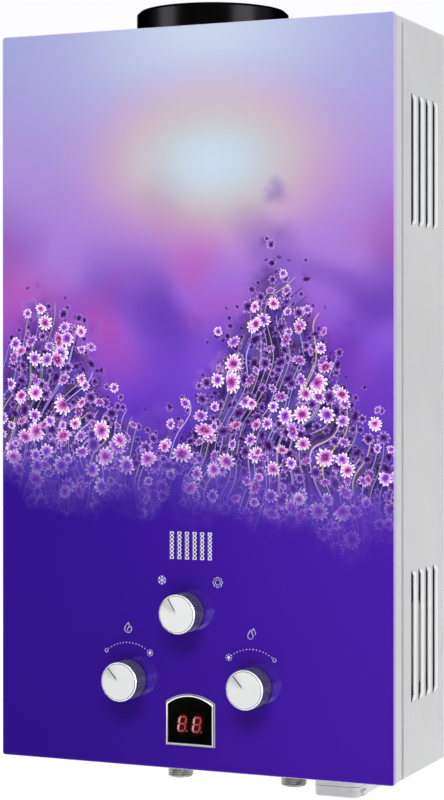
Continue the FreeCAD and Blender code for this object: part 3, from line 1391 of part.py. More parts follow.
def wiring_harness():
    box_y = (BOX_FRONT + BOX_REAR) / 2
    box_lead_z = wire_z(3)
    rear_y = CASE_REAR - WIRE_DEPTH
    display_y = HOUSING_REAR - HOUSING_ROOM / 2
    switch_x = SWITCH_RIGHT - SWITCH_WIDTH / 2
    switch_y = SWITCH_FRONT + SWITCH_DEPTH / 2
    solenoid_x = (SOLENOID_LEFT + GAS_LEFT) / 2
    near, middle, far = (IGNITER_FRONT - step * WIRE_PITCH for step in (1, 2, 3))
    routes = [
        [
            (BOX_MIDDLE_X, box_y, BOX_TOP),
            (BOX_MIDDLE_X, box_y, box_lead_z),
            (BOX_MIDDLE_X, IGNITER_FRONT, box_lead_z),
        ],
        [
            (wire_x(0), IGNITER_FRONT, wire_z(2)),
            (wire_x(0), middle, wire_z(2)),
            (DISPLAY_LEAD_X, middle, wire_z(2)),
            (DISPLAY_LEAD_X, display_y, wire_z(2)),
            (DISPLAY_LEAD_X, display_y, DISPLAY_TOP),
        ],
        [
            (wire_x(1), IGNITER_FRONT, wire_z(1)),
            (wire_x(1), far, wire_z(1)),
            (switch_x, far, wire_z(1)),
            (switch_x, switch_y, wire_z(1)),
            (switch_x, switch_y, SWITCH_Z + SWITCH_HEIGHT),
        ],
        [
            (wire_x(2), IGNITER_FRONT, wire_z(0)),
            (wire_x(2), near, wire_z(0)),
            (solenoid_x, near, wire_z(0)),
            (solenoid_x, PORT_Y, wire_z(0)),
            (solenoid_x, PORT_Y, SOLENOID_Z + SOLENOID_PLATE / 2),
        ],
        [
            (wire_x(2), rear_y, IGNITER_TOP),
            (wire_x(2), rear_y, THERMOSTAT_Z),
            (wire_x(2), CHAMBER_MIDDLE, THERMOSTAT_Z),
            (CHAMBER_HALF + SENSOR_HEIGHT, CHAMBER_MIDDLE, THERMOSTAT_Z),
        ],
        [
            (wire_x(1), rear_y, IGNITER_TOP),
            (wire_x(1), rear_y, FLUE_SENSOR_Z),
            (wire_x(1), CHAMBER_MIDDLE, FLUE_SENSOR_Z),
            (HOOD_FACE + SENSOR_HEIGHT, CHAMBER_MIDDLE, FLUE_SENSOR_Z),
        ],
    ]
    wires = [bent_bar(route, WIRE_BEND, WIRE_RADIUS) for route in routes]
    lead_y = CERAMIC_FRONT - HIGH_TENSION_REACH
    for step, index in enumerate((SPARK_GAP_INDEX, FLAME_GAP_INDEX)):
        x = index * BLADE_PITCH
        level = ELECTRODE_Z - HIGH_TENSION_DROP + step * HIGH_TENSION_STEP
        drop_x = IGNITER_LEFT + HIGH_TENSION_FIRST + step * HIGH_TENSION_PITCH
        route = [
            (x, CERAMIC_FRONT, ELECTRODE_Z),
            (x, lead_y, ELECTRODE_Z),
            (x, lead_y, level),
            (drop_x, lead_y, level),
            (drop_x, rear_y, level),
            (drop_x, rear_y, IGNITER_TOP),
        ]
        wires.append(bent_bar(route, HIGH_TENSION_BEND, HIGH_TENSION_RADIUS))
    return Part.makeCompound(wires)


def sight_mesh():
    """Perforated plate behind the sight slots, with its holes in staggered rows."""
    wall = (GLASS_BACK, FRAME_FACE)
    width = SIGHT_WIDTH + 2 * MESH_BORDER
    height = SIGHT_SLOT_HEIGHT + 2 * MESH_BORDER
    rows = int(2 * SIGHT_SLOT_HEIGHT / MESH_PITCH)
    columns = int(SIGHT_WIDTH / MESH_PITCH)
    holes = []
    for row in range(rows + 1):
        z = SIGHT_Z + (row - rows / 2) * MESH_PITCH / 2
        shift = (0.25 if row % 2 else -0.25) * MESH_PITCH
        for column in range(columns + 1):
            x = (column - columns / 2) * MESH_PITCH + shift
            holes.append(rod("y", (x, z), widened(wall), MESH_HOLE))
    return block(span(0, width), wall, span(SIGHT_Z, height)).cut(Part.makeCompound(holes))


def display_bezel():
    flange = arch(0.0, (BEZEL_FRONT, GLASS_FRONT))
    sleeve = arch(SLEEVE_INSET, (GLASS_FRONT, FRAME_BACK))
    return joined([flange, sleeve]).cut(arch(BEZEL_RIM, widened((BEZEL_FRONT, FRAME_BACK))))


def display_lens():
    return arch(BEZEL_RIM + RUNNING_GAP, (LENS_FRONT, LENS_FRONT + LENS_THICKNESS))


def display_housing():
    half = HOUSING_HALF_WIDTH
    inner = half - HOUSING_WALL
    floor = HOUSING_REAR - HOUSING_WALL
    box = block((-half, half), (FRAME_BACK, HOUSING_REAR), (DISPLAY_BOTTOM, DISPLAY_TOP))
    hollow = block(
        (-inner, inner),
        (FRAME_BACK - CUT_MARGIN, floor),
        (DISPLAY_BOTTOM + HOUSING_WALL, DISPLAY_TOP - HOUSING_WALL),
    )
    parts = [box.cut(hollow)]
    post_y = (BOARD_FRONT + BOARD_THICKNESS, floor)
    post_z = span((DISPLAY_BOTTOM + DISPLAY_TOP) / 2, HOUSING_POST_HEIGHT)
    for side in (-1, 1):
        post_x = sorted((side * inner, side * (inner - HOUSING_POST_WIDTH)))
        parts.append(block(post_x, post_y, post_z))
    return joined(parts)


def display_board():
    half = HOUSING_HALF_WIDTH - HOUSING_WALL - FIT_GAP
    margin = HOUSING_WALL + FIT_GAP
    z = (DISPLAY_BOTTOM + margin, DISPLAY_TOP - margin)
    return block((-half, half), (BOARD_FRONT, BOARD_FRONT + BOARD_THICKNESS), z)


def digit_bars(middle_x, middle_z):
    """Seven raised bars and a point of one slanted digit."""
    half_width = (DIGIT_WIDTH - DIGIT_STROKE) / 2
    half_height = (DIGIT_HEIGHT - DIGIT_STROKE) / 2
    flat = DIGIT_WIDTH - DIGIT_STROKE - 2 * DIGIT_GAP
    upright = half_height - DIGIT_STROKE / 2 - 2 * DIGIT_GAP
    bars = [(0.0, z, flat, DIGIT_STROKE) for z in (-half_height, 0.0, half_height)]
    for x in (-half_width, half_width):
        for z in (-half_height / 2, half_height / 2):
            bars.append((x, z, DIGIT_STROKE, upright))
    bars.append((half_width + DIGIT_STROKE + DIGIT_GAP, -half_height, DIGIT_POINT, DIGIT_POINT))
    lean = math.tan(math.radians(DIGIT_SLANT))
    solids = []
    for x, z, width, height in bars:
        points = []
        for side, end in ((-1, -1), (1, -1), (1, 1), (-1, 1), (-1, -1)):
            up = z + end * height / 2
            across = middle_x + x + side * width / 2 + up * lean
            points.append(Vector(across, DIGIT_FACE - DIGIT_RELIEF, middle_z + up))
        solids.append(Part.Face(Part.makePolygon(points)).extrude(Vector(0, DIGIT_RELIEF, 0)))
    return solids


def display_digits():
    middle_z = DISPLAY_BOTTOM + DIGIT_BLOCK_RISE
    y = (DIGIT_FACE, BOARD_FRONT)
    parts = [block(span(0, DIGIT_BLOCK_WIDTH), y, span(middle_z, DIGIT_BLOCK_HEIGHT))]
    for x in (-DIGIT_PITCH / 2, DIGIT_PITCH / 2):
        parts += digit_bars(x - DIGIT_POINT, middle_z)
    return joined(parts)


def cell_centres():
    """Places of the two upright cells."""
    first = BOX_FRONT + BOX_WALL + BAY_WIDTH / 2
    return [(BOX_MIDDLE_X, first), (BOX_MIDDLE_X, first + BAY_WIDTH + BOX_WALL)]


def battery_box():
    x = (BOX_LEFT, BOX_RIGHT)
    box = rounded_block(x, (BOX_FRONT, BOX_REAR), (BOX_BOTTOM, BOX_TOP), "z", BOX_CORNER)
    bay_z = (BOX_BOTTOM - CUT_MARGIN, BOX_TOP - BOX_WALL)
    for bay_x, bay_y in cell_centres():
        bay = rounded_block(span(bay_x, BAY_WIDTH), span(bay_y, BAY_WIDTH), bay_z, "z", BOX_CORNER - BOX_WALL)
        box = box.cut(bay)
    parts = [box]
    for side in (-1, 1):
        inner = BOX_MIDDLE_X + side * (HINGE_WIDTH / 2 + FIT_GAP)
        limits = sorted((inner, inner + side * HINGE_EAR))
        parts.append(rod("x", (HINGE_Y, HINGE_Z), limits, HINGE_KNUCKLE))
        parts.append(block(limits, (BOX_REAR - BOX_WALL, HINGE_Y), (HINGE_Z, HINGE_Z + HINGE_KNUCKLE)))
    pin_limits = widened(span(BOX_MIDDLE_X, HINGE_WIDTH + 2 * HINGE_EAR))
    return joined(parts).cut(rod("x", (HINGE_Y, HINGE_Z), pin_limits, HINGE_RADIUS + RUNNING_GAP))


def battery_lid():
    x = (BOX_LEFT, BOX_RIGHT)
    y = (BOX_FRONT, BOX_REAR)
    lid = rounded_block(x, y, (LID_BOTTOM, LID_TOP), "z", BOX_CORNER)
    foot = [edge for edge in lid.Edges if edge.BoundBox.ZMax < LID_BOTTOM + LID_HEIGHT / 2]
    lid = lid.makeFillet(BOX_WALL, foot)
    tray = rounded_block(
        (x[0] + BOX_WALL, x[1] - BOX_WALL),
        (y[0] + BOX_WALL, y[1] - BOX_WALL),
        (LID_BOTTOM + LID_FLOOR, LID_TOP + CUT_MARGIN),
        "z",
        BOX_CORNER - BOX_WALL,
    )
    tab_y = (y[0] + BOX_CORNER, y[0] + BOX_CORNER + TAB_WIDTH)
    tab_z = (LID_BOTTOM + BOX_WALL, LID_BOTTOM + BOX_WALL + TAB_HEIGHT)
    arm_x = span(BOX_MIDDLE_X, HINGE_WIDTH)
    pin_x = span(BOX_MIDDLE_X, HINGE_WIDTH + 2 * HINGE_EAR)
    parts = [
        lid.cut(tray),
        block((x[1] - BOX_WALL, x[1] + TAB_PROUD), tab_y, tab_z),
        block(arm_x, (y[1] - BOX_WALL, HINGE_Y), (HINGE_Z - HINGE_KNUCKLE, HINGE_Z - FIT_GAP)),
        rod("x", (HINGE_Y, HINGE_Z), arm_x, HINGE_KNUCKLE),
        rod("x", (HINGE_Y, HINGE_Z), pin_x, HINGE_RADIUS),
    ]
    return joined(parts)


def battery_cells():
    cells = []
    for centre in cell_centres():
        can = rod("z", centre, (CELL_BOTTOM, CELL_TOP - CELL_BUTTON), CELL_RADIUS)
        cells.append(can.fuse(rod("z", centre, (CELL_BOTTOM, CELL_TOP), CELL_BUTTON_RADIUS)))
    return Part.makeCompound(cells)


def battery_contacts():
    """Contact plate and stem over each cell."""
    plate_z = (BOX_TOP - BOX_WALL - CONTACT_SHEET, BOX_TOP - BOX_WALL)
    contacts = []
    for x, y in cell_centres():
        plate = block(span(x, CONTACT_PLATE), span(y, CONTACT_PLATE), plate_z)
        contacts.append(joined([plate, rod("z", (x, y), (CELL_TOP, plate_z[0]), CONTACT_STEM)]))
    return Part.makeCompound(contacts)


def lid_contact():
    """Bent strip in the lid that joins the two cells, with a raised leaf under each."""
    low = LID_BOTTOM + LID_FLOOR
    high = CELL_BOTTOM - SCREW_GAP - CONTACT_SHEET
    flat = LID_CONTACT_FLAT
    line = []
    for _, y in cell_centres():
        line += [(y - 3 * flat, low), (y - 2 * flat, low), (y - flat, high)]
        line += [(y + flat, high), (y + 2 * flat, low), (y + 3 * flat, low)]
    x = BOX_MIDDLE_X - LID_CONTACT_WIDTH / 2
    under = [Vector(x, y, z) for y, z in line]
    over = [Vector(x, y, z + CONTACT_SHEET) for y, z in reversed(line)]
    face = Part.Face(Part.makePolygon(under + over + [under[0]]))
    return face.extrude(Vector(LID_CONTACT_WIDTH, 0, 0))


def casing_screws():
    screws = []
    for centre in rear_screws():
        screws.append(screw("y", centre, CASE_REAR - CASE_SHEET, 1, CASE_SHEET + BACK_SHEET - SCREW_GAP))
    collar_floor = PANEL_HEIGHT / 2 + FIT_GAP + COLLAR_WALL
    for centre in collar_screws():
        screws.append(screw("z", centre, collar_floor, -1, COLLAR_SCREW_LENGTH))
    for centre in cover_screws():
        screws.append(screw("z", centre, BASE_UNDER, 1, COVER_SCREW_LENGTH))
    return Part.makeCompound(screws)


def build_nodes():
    """Every node's shape under its name."""
    gas_stub, cold_stub, hot_stub = stub_centres()
    nodes = {
        "glass_panel": glass_panel(),
        "bonding_tape": bonding_tape(),
        "front_frame": front_frame(),
        "casing_shell": casing_shell(),
        "back_plate": back_plate(),
        "base_plate": base_plate(),
        "flue_collar": flue_collar(),
        "draft_hood": draft_hood(),
        "combustion_chamber": combustion_chamber(),
        "fin_block": fin_block(),
        "exchanger_tubes": exchanger_tubes(),
        "chamber_coil": chamber_coil(),
        "burner_blades": burner_blades(),
        "burner_tray": burner_tray(),
        "gas_manifold": gas_manifold(),
        "gas_nozzles": gas_nozzles(),
        "season_valve_body": season_valve_body(),
        "gland_nuts": gland_nuts(),
        "gas_valve_body": gas_valve_body(),
        "gas_inlet_stub": connection_stub(gas_stub, VALVE_BOTTOM),
        "solenoid_valve": solenoid_valve(),
        "water_valve_body": water_valve_body(),
        "water_valve_cover": water_valve_cover(),
        "diaphragm": diaphragm(),
        "cold_inlet_stub": connection_stub(cold_stub, VALVE_BOTTOM),
        "drain_plug": drain_plug(),
        "push_rod": push_rod(),
        "rod_spring": rod_spring(),
        "microswitch": microswitch(),
        "switch_lever": switch_lever(),
        "cold_pipe": cold_pipe(),
        "hot_pipe": hot_pipe(),
        "hot_outlet_stub": connection_stub(hot_stub, HOT_STUB_TOP),
        "pipe_nuts": pipe_nuts(),
        "igniter_box": igniter_box(),
        "spark_electrode": electrode(SPARK_GAP_INDEX),
        "flame_sensor": electrode(FLAME_GAP_INDEX),
        "disc_thermostats": disc_thermostats(),
        "wiring_harness": wiring_harness(),
        "sight_mesh": sight_mesh(),
        "display_bezel": display_bezel(),
        "display_lens": display_lens(),
        "display_housing": display_housing(),
        "display_board": display_board(),
        "display_digits": display_digits(),
        "battery_box": battery_box(),
        "battery_lid": battery_lid(),
        "lid_contact": lid_contact(),
        "battery_cells": battery_cells(),
        "battery_contacts": battery_contacts(),
        "casing_screws": casing_screws(),
    }
    for name, x, z, angle in SPINDLES:
        nodes[name + "_knob"] = knob(x, z)
        nodes[name + "_knob_cap"] = knob_cap(x, z, angle)
        nodes[name + "_spindle"] = spindle(x, z)
    return nodes


os.makedirs("parts", exist_ok=True)
for node_name, node_shape in build_nodes().items():
    node_shape.exportStep("parts/" + node_name + ".step")
    print(node_name, len(node_shape.Solids), round(node_shape.Volume), node_shape.isValid())
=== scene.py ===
# %% [markdown]
# A gas water heater for a wall, seen from its right front. The parts made in CAD come in as a
# frame with true sizes. This lesson gives every one of them a finish, and adds what is too fine
# for CAD: the printed picture, the dial marks, the plated rim of the display, the threads, the
# screws' recesses, the wound spring and the ridges of the perforated sheet. Everything is in
# metres: X runs right, Y runs to the wall and Z runs up.

# %% Load the frame
import json
import math

import bmesh
import bpy
from mathutils import Matrix, Vector


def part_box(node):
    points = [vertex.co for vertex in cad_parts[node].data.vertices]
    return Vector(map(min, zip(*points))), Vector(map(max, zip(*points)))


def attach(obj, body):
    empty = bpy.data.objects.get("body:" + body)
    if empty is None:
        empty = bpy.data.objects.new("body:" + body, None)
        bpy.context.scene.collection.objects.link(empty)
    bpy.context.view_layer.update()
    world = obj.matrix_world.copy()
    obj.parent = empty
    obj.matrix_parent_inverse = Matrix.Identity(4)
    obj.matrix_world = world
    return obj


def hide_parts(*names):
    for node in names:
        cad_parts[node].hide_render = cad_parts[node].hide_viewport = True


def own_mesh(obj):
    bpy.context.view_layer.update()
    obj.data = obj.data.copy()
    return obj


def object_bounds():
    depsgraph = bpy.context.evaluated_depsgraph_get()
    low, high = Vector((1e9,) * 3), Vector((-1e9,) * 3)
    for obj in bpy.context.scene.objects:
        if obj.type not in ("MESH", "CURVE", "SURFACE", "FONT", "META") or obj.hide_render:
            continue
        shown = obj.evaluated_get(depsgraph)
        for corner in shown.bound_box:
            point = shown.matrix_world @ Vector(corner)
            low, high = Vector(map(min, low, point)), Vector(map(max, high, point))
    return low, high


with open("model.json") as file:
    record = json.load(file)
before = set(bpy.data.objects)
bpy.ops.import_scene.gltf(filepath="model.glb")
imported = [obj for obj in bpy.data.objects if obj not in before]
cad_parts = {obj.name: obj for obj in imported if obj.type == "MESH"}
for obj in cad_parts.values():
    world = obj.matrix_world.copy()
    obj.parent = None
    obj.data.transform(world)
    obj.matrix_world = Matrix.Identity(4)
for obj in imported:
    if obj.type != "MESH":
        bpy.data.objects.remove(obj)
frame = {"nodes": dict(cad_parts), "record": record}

MM = 0.001
MICRON = 0.000001
cad_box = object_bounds()
print("CAD box", [tuple(round(v, 4) for v in corner) for corner in cad_box])

# %% [markdown]
# The camera stands to the right of the heater at about the height of its middle. Its place and
# lens come from the straight edges of the case: where they run together gives the direction, and
# the known width and height of the glass give the distance. The middle of the picture lies a
# little below the level at which the camera looks, so the lens is shifted instead of tilted,
# which keeps the upright edges upright.

# %% Camera
CAMERA_PLACE = Vector((0.7057, -1.6883, 0.0288))
CAMERA_TURN = math.radians(23.48)
LENS_MM = 97.42
LENS_SHIFT = -0.0487

camera_data = bpy.data.cameras.new("camera")
camera_data.lens = LENS_MM
camera_data.sensor_width = 36.0
camera_data.shift_y = LENS_SHIFT
camera = bpy.data.objects.new("camera", camera_data)
camera.location = CAMERA_PLACE
camera.rotation_euler = (math.radians(90), 0, CAMERA_TURN)
bpy.context.collection.objects.link(camera)
bpy.context.scene.camera = camera
print("camera at", tuple(round(v, 3) for v in CAMERA_PLACE))

# %% [markdown]
# Two large soft lamps light the heater, one above and one below the camera. Two more stand to
# the left and right and draw the two grey streaks on the black collar. They are linked to the
# collar and the knobs alone and show only in reflections, because the glass would mirror them
# as pale sheets in a view from the side.

# %% Lamps
SOFT_LAMPS = {
    "key_above": {
        "place": (0.45, -2.1, 1.9), "target": (0, -0.1, 0.1), "size": (1.8, 1.0), "power": 62,
    },
    "fill_below": {
        "place": (0.3, -2.2, -1.3), "target": (0, -0.1, -0.1), "size": (1.6, 0.8), "power": 30,
    },
}
STRIP = {"target": (0, -0.06, 0.1), "size": (1.4, 1.9), "power": 48}
STRIP_PLACES = {"right": (2.30, -0.88, 0.5), "left": (-2.10, -1.90, 0.5)}
STREAKED_NODES = ("flue_collar", "gas_knob", "water_knob", "season_knob")


def area_light(name, place, target, size, power):
    """A soft rectangular lamp that faces a target point."""
    lamp = bpy.data.lights.new(name, "AREA")
    lamp.shape = "RECTANGLE"
    lamp.size, lamp.size_y = size
    lamp.energy = power
    holder = bpy.data.objects.new(name, lamp)
    holder.location = place
    aim = Vector(target) - Vector(place)
    holder.rotation_euler = aim.to_track_quat("-Z", "Y").to_euler()
    bpy.context.collection.objects.link(holder)
    return holder


for name, lamp in SOFT_LAMPS.items():
    area_light(name, **lamp)
streaked = bpy.data.collections.new("streaked")
for node in STREAKED_NODES:
    streaked.objects.link(frame["nodes"][node])
for side, place in STRIP_PLACES.items():
    strip = area_light("strip_" + side, place, **STRIP)
    strip.visible_diffuse = False
    strip.light_linking.receiver_collection = streaked
print("lamps", [light.name for light in bpy.data.lights])

# %% [markdown]
# Shader nodes are made many times over in this lesson, so short helpers come first. Most make
# one node, fill its sockets with numbers or with links, and give back its result. The last two
# start a node group with named inputs and outputs, and place a group in a material.

# %% Helpers for shader nodes


def fill(node, sockets):
    """Give each input a value, or a link where the value is a socket."""
    for key, value in sockets.items():
        if isinstance(value, bpy.types.NodeSocket):
            node.id_data.links.new(value, node.inputs[key])
        else:
            node.inputs[key].default_value = value


def shade(tree, kind, sockets=None, **settings):
    """Add a shader node, set its properties, and fill its inputs."""
    made = tree.nodes.new("ShaderNode" + kind)
    for key, value in settings.items():
        setattr(made, key, value)
    fill(made, sockets or {})
    return made


def math_node(tree, operation, *values, clamp=False):
    """One Math node's result."""
    sockets = dict(enumerate(values))
    return shade(tree, "Math", sockets, operation=operation, use_clamp=clamp).outputs[0]


def vector_node(tree, operation, *values):
    """One Vector Math node's result."""
    return shade(tree, "VectorMath", dict(enumerate(values)), operation=operation).outputs["Vector"]


def scale_node(tree, vector, factor):
    """A vector times a number."""
    return shade(tree, "VectorMath", {0: vector, "Scale": factor}, operation="SCALE").outputs["Vector"]


def length_node(tree, vector):
    """How long a vector is."""
    return shade(tree, "VectorMath", {0: vector}, operation="LENGTH").outputs["Value"]


def split(tree, vector):
    """The X, Y and Z of a vector."""
    parts = shade(tree, "SeparateXYZ", {"Vector": vector}).outputs
    return parts["X"], parts["Y"], parts["Z"]


def span(tree, value, low, high, start=0.0, end=1.0, **settings):
    """A value carried over from one span to another, and held at its ends."""
    sockets = {"Value": value, "From Min": start, "From Max": end, "To Min": low, "To Max": high}
    return shade(tree, "MapRange", sockets, **settings).outputs["Result"]


def mix_colour(tree, factor, low, high, blend="MIX"):
    """One colour Mix node's result."""
    node = shade(tree, "Mix", {"Factor": factor}, data_type="RGBA", blend_type=blend)
    fill(node, {6: low, 7: high})
    return node.outputs[2]


def ramp(tree, factor, stops, interpolation="LINEAR"):
    """A colour ramp from a list of (place, colour)."""
    node = shade(tree, "ValToRGB", {"Fac": factor})
    band = node.color_ramp
    band.interpolation = interpolation
    while len(band.elements) < len(stops):
        band.elements.new(1.0)
    for element, (place, colour) in zip(band.elements, stops):
        element.position = place
        element.color = colour if len(colour) == 4 else (*colour, 1.0)
    return node.outputs["Color"]


def new_group(name, inputs, outputs):
    """A shader node group with named float, vector or colour sockets."""
    kinds = {"value": "NodeSocketFloat", "vector": "NodeSocketVector", "colour": "NodeSocketColor"}
    group = bpy.data.node_groups.new(name, "ShaderNodeTree")
    for label, kind, default in inputs:
        socket = group.interface.new_socket(name=label, in_out="INPUT", socket_type=kinds[kind])
        if default is not None:
            socket.default_value = default
    for label, kind in outputs:
        group.interface.new_socket(name=label, in_out="OUTPUT", socket_type=kinds[kind])
    entry = group.nodes.new("NodeGroupInput")
    leave = group.nodes.new("NodeGroupOutput")
    return group, entry.outputs, leave.inputs


def use_group(tree, group, **sockets):
    """Place a node group; spaces in socket names are written as underscores."""
    node = tree.nodes.new("ShaderNodeGroup")
    node.node_tree = group
    fill(node, {key.replace("_", " "): value for key, value in sockets.items()})
    return node.outputs


print("node helpers ready")

# %% [markdown]
# The room is white: a pale surrounding and a floor of lit paper. Glass shows whatever stands in
# its mirror direction, so the room behind the camera is dark, as when a studio hangs a black
# cloth; otherwise a pale haze would lie over the deep violet. A camera that looks there sees the
# pale room all the same. The plain view transform keeps strong violets from turning grey.

# %% Room and floor
ROOM_COLOUR = (0.98, 0.98, 1.0, 1)
DARK_SIDE = (0.0, -1.0, 0.0)
DARK_EDGE = (0.15, 0.62)
DARK_LEVEL = 0.04
FLOOR_DROP = 0.16
FLOOR_FRONT = -0.7
FLOOR_SIZE = 14.0
PAPER = {
    "Base Color": (0.9, 0.9, 0.9, 1), "Roughness": 0.9,
    "Emission Color": (1, 1, 1, 1), "Emission Strength": 0.3,
}

scene = bpy.context.scene
scene.view_settings.view_transform = "Standard"
world = bpy.data.worlds.new("pale_studio")
world.use_nodes = True
room = world.node_tree
towards = shade(room, "TexCoord").outputs["Generated"]
facing = shade(room, "VectorMath", {0: towards, 1: DARK_SIDE}, operation="DOT_PRODUCT").outputs["Value"]
cloth = span(room, facing, 1.0, DARK_LEVEL, *DARK_EDGE, interpolation_type="SMOOTHSTEP")
straight = shade(room, "LightPath").outputs["Is Camera Ray"]
strength = math_node(room, "MAXIMUM", cloth, straight)
fill(room.nodes["Background"], {"Color": ROOM_COLOUR, "Strength": strength})
scene.world = world

floor_place = (0, FLOOR_FRONT + FLOOR_SIZE / 2, cad_box[0].z - FLOOR_DROP)
bpy.ops.mesh.primitive_plane_add(size=FLOOR_SIZE, location=floor_place)
floor = bpy.context.active_object
floor.name = "studio_floor"
paper = bpy.data.materials.new("studio_paper")
paper.use_nodes = True
fill(paper.node_tree.nodes["Principled BSDF"], PAPER)
floor.data.materials.append(paper)
print("studio ready")

# %% [markdown]
# Five effects are shared by many finishes, so each is one node group. Orange peel is the faint
# waviness of sprayed enamel. Handling is the soft smudging that changes the gloss. Brushing is
# the fine streaks of rolled or brushed sheet. Blotches are slow changes of colour, as on
# tarnished copper or cast metal. Within box tells whether a point lies inside a box. Each puts
# out colours and numbers only, and the material decides their use.

# %% Shared effects
FINE_RATIO = 4.0
FINE_SHARE = 0.3
SMUDGE_EDGES = (0.35, 0.7)
WEAR_EDGES = (0.4, 0.72)


def noise(tree, place, scale, detail=3.0, roughness=0.55, distortion=0.0):
    """Soft random values in space, from 0 to 1."""
    sockets = {
        "Vector": place, "Scale": scale, "Detail": detail,
        "Roughness": roughness, "Distortion": distortion,
    }
    return shade(tree, "TexNoise", sockets, noise_dimensions="3D").outputs["Fac"]


orange_peel, peel_in, peel_out = new_group(
    "orange_peel", [("Place", "vector", None), ("Scale", "value", 700.0)], [("Height", "value")]
)
coarse = noise(orange_peel, peel_in["Place"], peel_in["Scale"], 2.0)
fine_scale = math_node(orange_peel, "MULTIPLY", peel_in["Scale"], FINE_RATIO)
fine = noise(orange_peel, peel_in["Place"], fine_scale, 1.0)
waviness = math_node(orange_peel, "MULTIPLY_ADD", fine, FINE_SHARE, coarse)
orange_peel.links.new(waviness, peel_out["Height"])

handling, hand_in, hand_out = new_group(
    "handling",
    [("Place", "vector", None), ("Low", "value", 0.3), ("High", "value", 0.45), ("Scale", "value", 14.0)],
    [("Roughness", "value")],
)
smudge = noise(handling, hand_in["Place"], hand_in["Scale"], 5.0, 0.65, 0.6)
gloss_span = span(handling, smudge, hand_in["Low"], hand_in["High"], *SMUDGE_EDGES)
handling.links.new(gloss_span, hand_out["Roughness"])

brushing, brush_in, brush_out = new_group(
    "brushing",
    [("Place", "vector", None), ("Stretch", "vector", (1.0, 40.0, 40.0)), ("Scale", "value", 60.0)],
    [("Streaks", "value")],
)
stretched = vector_node(brushing, "MULTIPLY", brush_in["Place"], brush_in["Stretch"])
brushing.links.new(noise(brushing, stretched, brush_in["Scale"], 4.0, 0.7), brush_out["Streaks"])

blotches, blotch_in, blotch_out = new_group(
    "blotches",
    [
        ("Place", "vector", None), ("Scale", "value", 30.0),
        ("Clean", "colour", (1, 1, 1, 1)), ("Aged", "colour", (0.5, 0.5, 0.5, 1)),
    ],
    [("Colour", "colour")],
)
cloud = noise(blotches, blotch_in["Place"], blotch_in["Scale"], 6.0, 0.62, 0.4)
worn = span(blotches, cloud, 0.0, 1.0, *WEAR_EDGES)
blotches.links.new(mix_colour(blotches, worn, blotch_in["Clean"], blotch_in["Aged"]), blotch_out["Colour"])

within_box, box_in, box_out = new_group(
    "within_box",
    [("Place", "vector", None), ("Middle", "vector", (0.0, 0.0, 0.0)), ("Half", "vector", (0.1, 0.1, 0.1))],
    [("Inside", "value")],
)
from_middle = vector_node(within_box, "SUBTRACT", box_in["Place"], box_in["Middle"])
spare = vector_node(within_box, "SUBTRACT", box_in["Half"], vector_node(within_box, "ABSOLUTE", from_middle))
spare_x, spare_y, spare_z = split(within_box, spare)
least = math_node(within_box, "MINIMUM", math_node(within_box, "MINIMUM", spare_x, spare_y), spare_z)
within_box.links.new(math_node(within_box, "GREATER_THAN", least, 0.0), box_out["Inside"])
print("shared effects", [group.name for group in bpy.data.node_groups])

# %% [markdown]
# A finish is one material. The base function starts it with a Principled shader and the place
# of each point in metres. What nearly every finish needs comes with it: a height that raises
# the surface, fine waviness, uneven gloss, and a colour that changes slowly to an aged one.

# %% Base of a finish
def finish_base(name, colour=(0.8, 0.8, 0.8), metallic=0.0, roughness=0.4):
    """A new material: its tree, its Principled shader, and the place of a point in metres."""
    material = bpy.data.materials.new(name)
    material.use_nodes = True
    tree = material.node_tree
    skin = tree.nodes["Principled BSDF"]
    fill(skin, {"Base Color": (*colour, 1.0), "Metallic": metallic, "Roughness": roughness})
    return material, tree, skin, shade(tree, "TexCoord").outputs["Object"]


def raise_surface(tree, skin, height, strength, microns):
    """Feed a height into the surface through a Bump node."""
    bump = shade(tree, "Bump", {"Height": height, "Strength": strength, "Distance": microns * MICRON})
    fill(skin, {"Normal": bump.outputs["Normal"]})


def wavy(tree, skin, place, scale, strength, microns):
    """Fine waviness all over the surface."""
    height = use_group(tree, orange_peel, Place=place, Scale=scale)["Height"]
    raise_surface(tree, skin, height, strength, microns)


def smudged(tree, skin, place, low, high, scale=14.0):
    """Uneven gloss between two roughnesses."""
    gloss = use_group(tree, handling, Place=place, Low=low, High=high, Scale=scale)["Roughness"]
    fill(skin, {"Roughness": gloss})


def patchy(tree, place, scale, clean, aged):
    """A clean colour that changes slowly to an aged one."""
    return use_group(tree, blotches, Place=place, Scale=scale, Clean=(*clean, 1), Aged=(*aged, 1))["Colour"]


def darker(colour, share):
    return tuple(v * share for v in colour)


def depth_node(tree, place):
    """How far a point stands out from the wall, in millimetres."""
    return math_node(tree, "MULTIPLY", split(tree, place)[1], -1 / MM)


print("base of a finish ready")

# %% [markdown]
# Paint and plastic come first. The case is sprayed white, and two boxes change its paint: inside
# the case it is darkened as painted shade, and the tongues of the louvres, which lean out and
# catch the light, get a painted highlight. The tongues on both sides, above and below, are mirror
# images, so one box finds them all once the place has lost its signs. Moulded pieces have a fine
# even texture.

# %% Paint and plastic
CASE_BOX = {"Middle": (0.0, -0.0607, 0.0006), "Half": (0.1670, 0.0590, 0.2916)}
TONGUE_BOX = {"Middle": (0.16850, 0.0506, 0.1860), "Half": (0.00088, 0.0360, 0.0525)}
INNER_SHADE = 0.75


def shaded_inside_case(tree, place, colour):
    """A colour darkened where it lies inside the case, as painted shade."""
    inside = use_group(tree, within_box, Place=place, **CASE_BOX)["Inside"]
    share = math_node(tree, "MULTIPLY_ADD", inside, -INNER_SHADE, 1.0)
    grey = shade(tree, "CombineColor", {"Red": share, "Green": share, "Blue": share}).outputs["Color"]
    return mix_colour(tree, 1.0, colour, grey, "MULTIPLY")


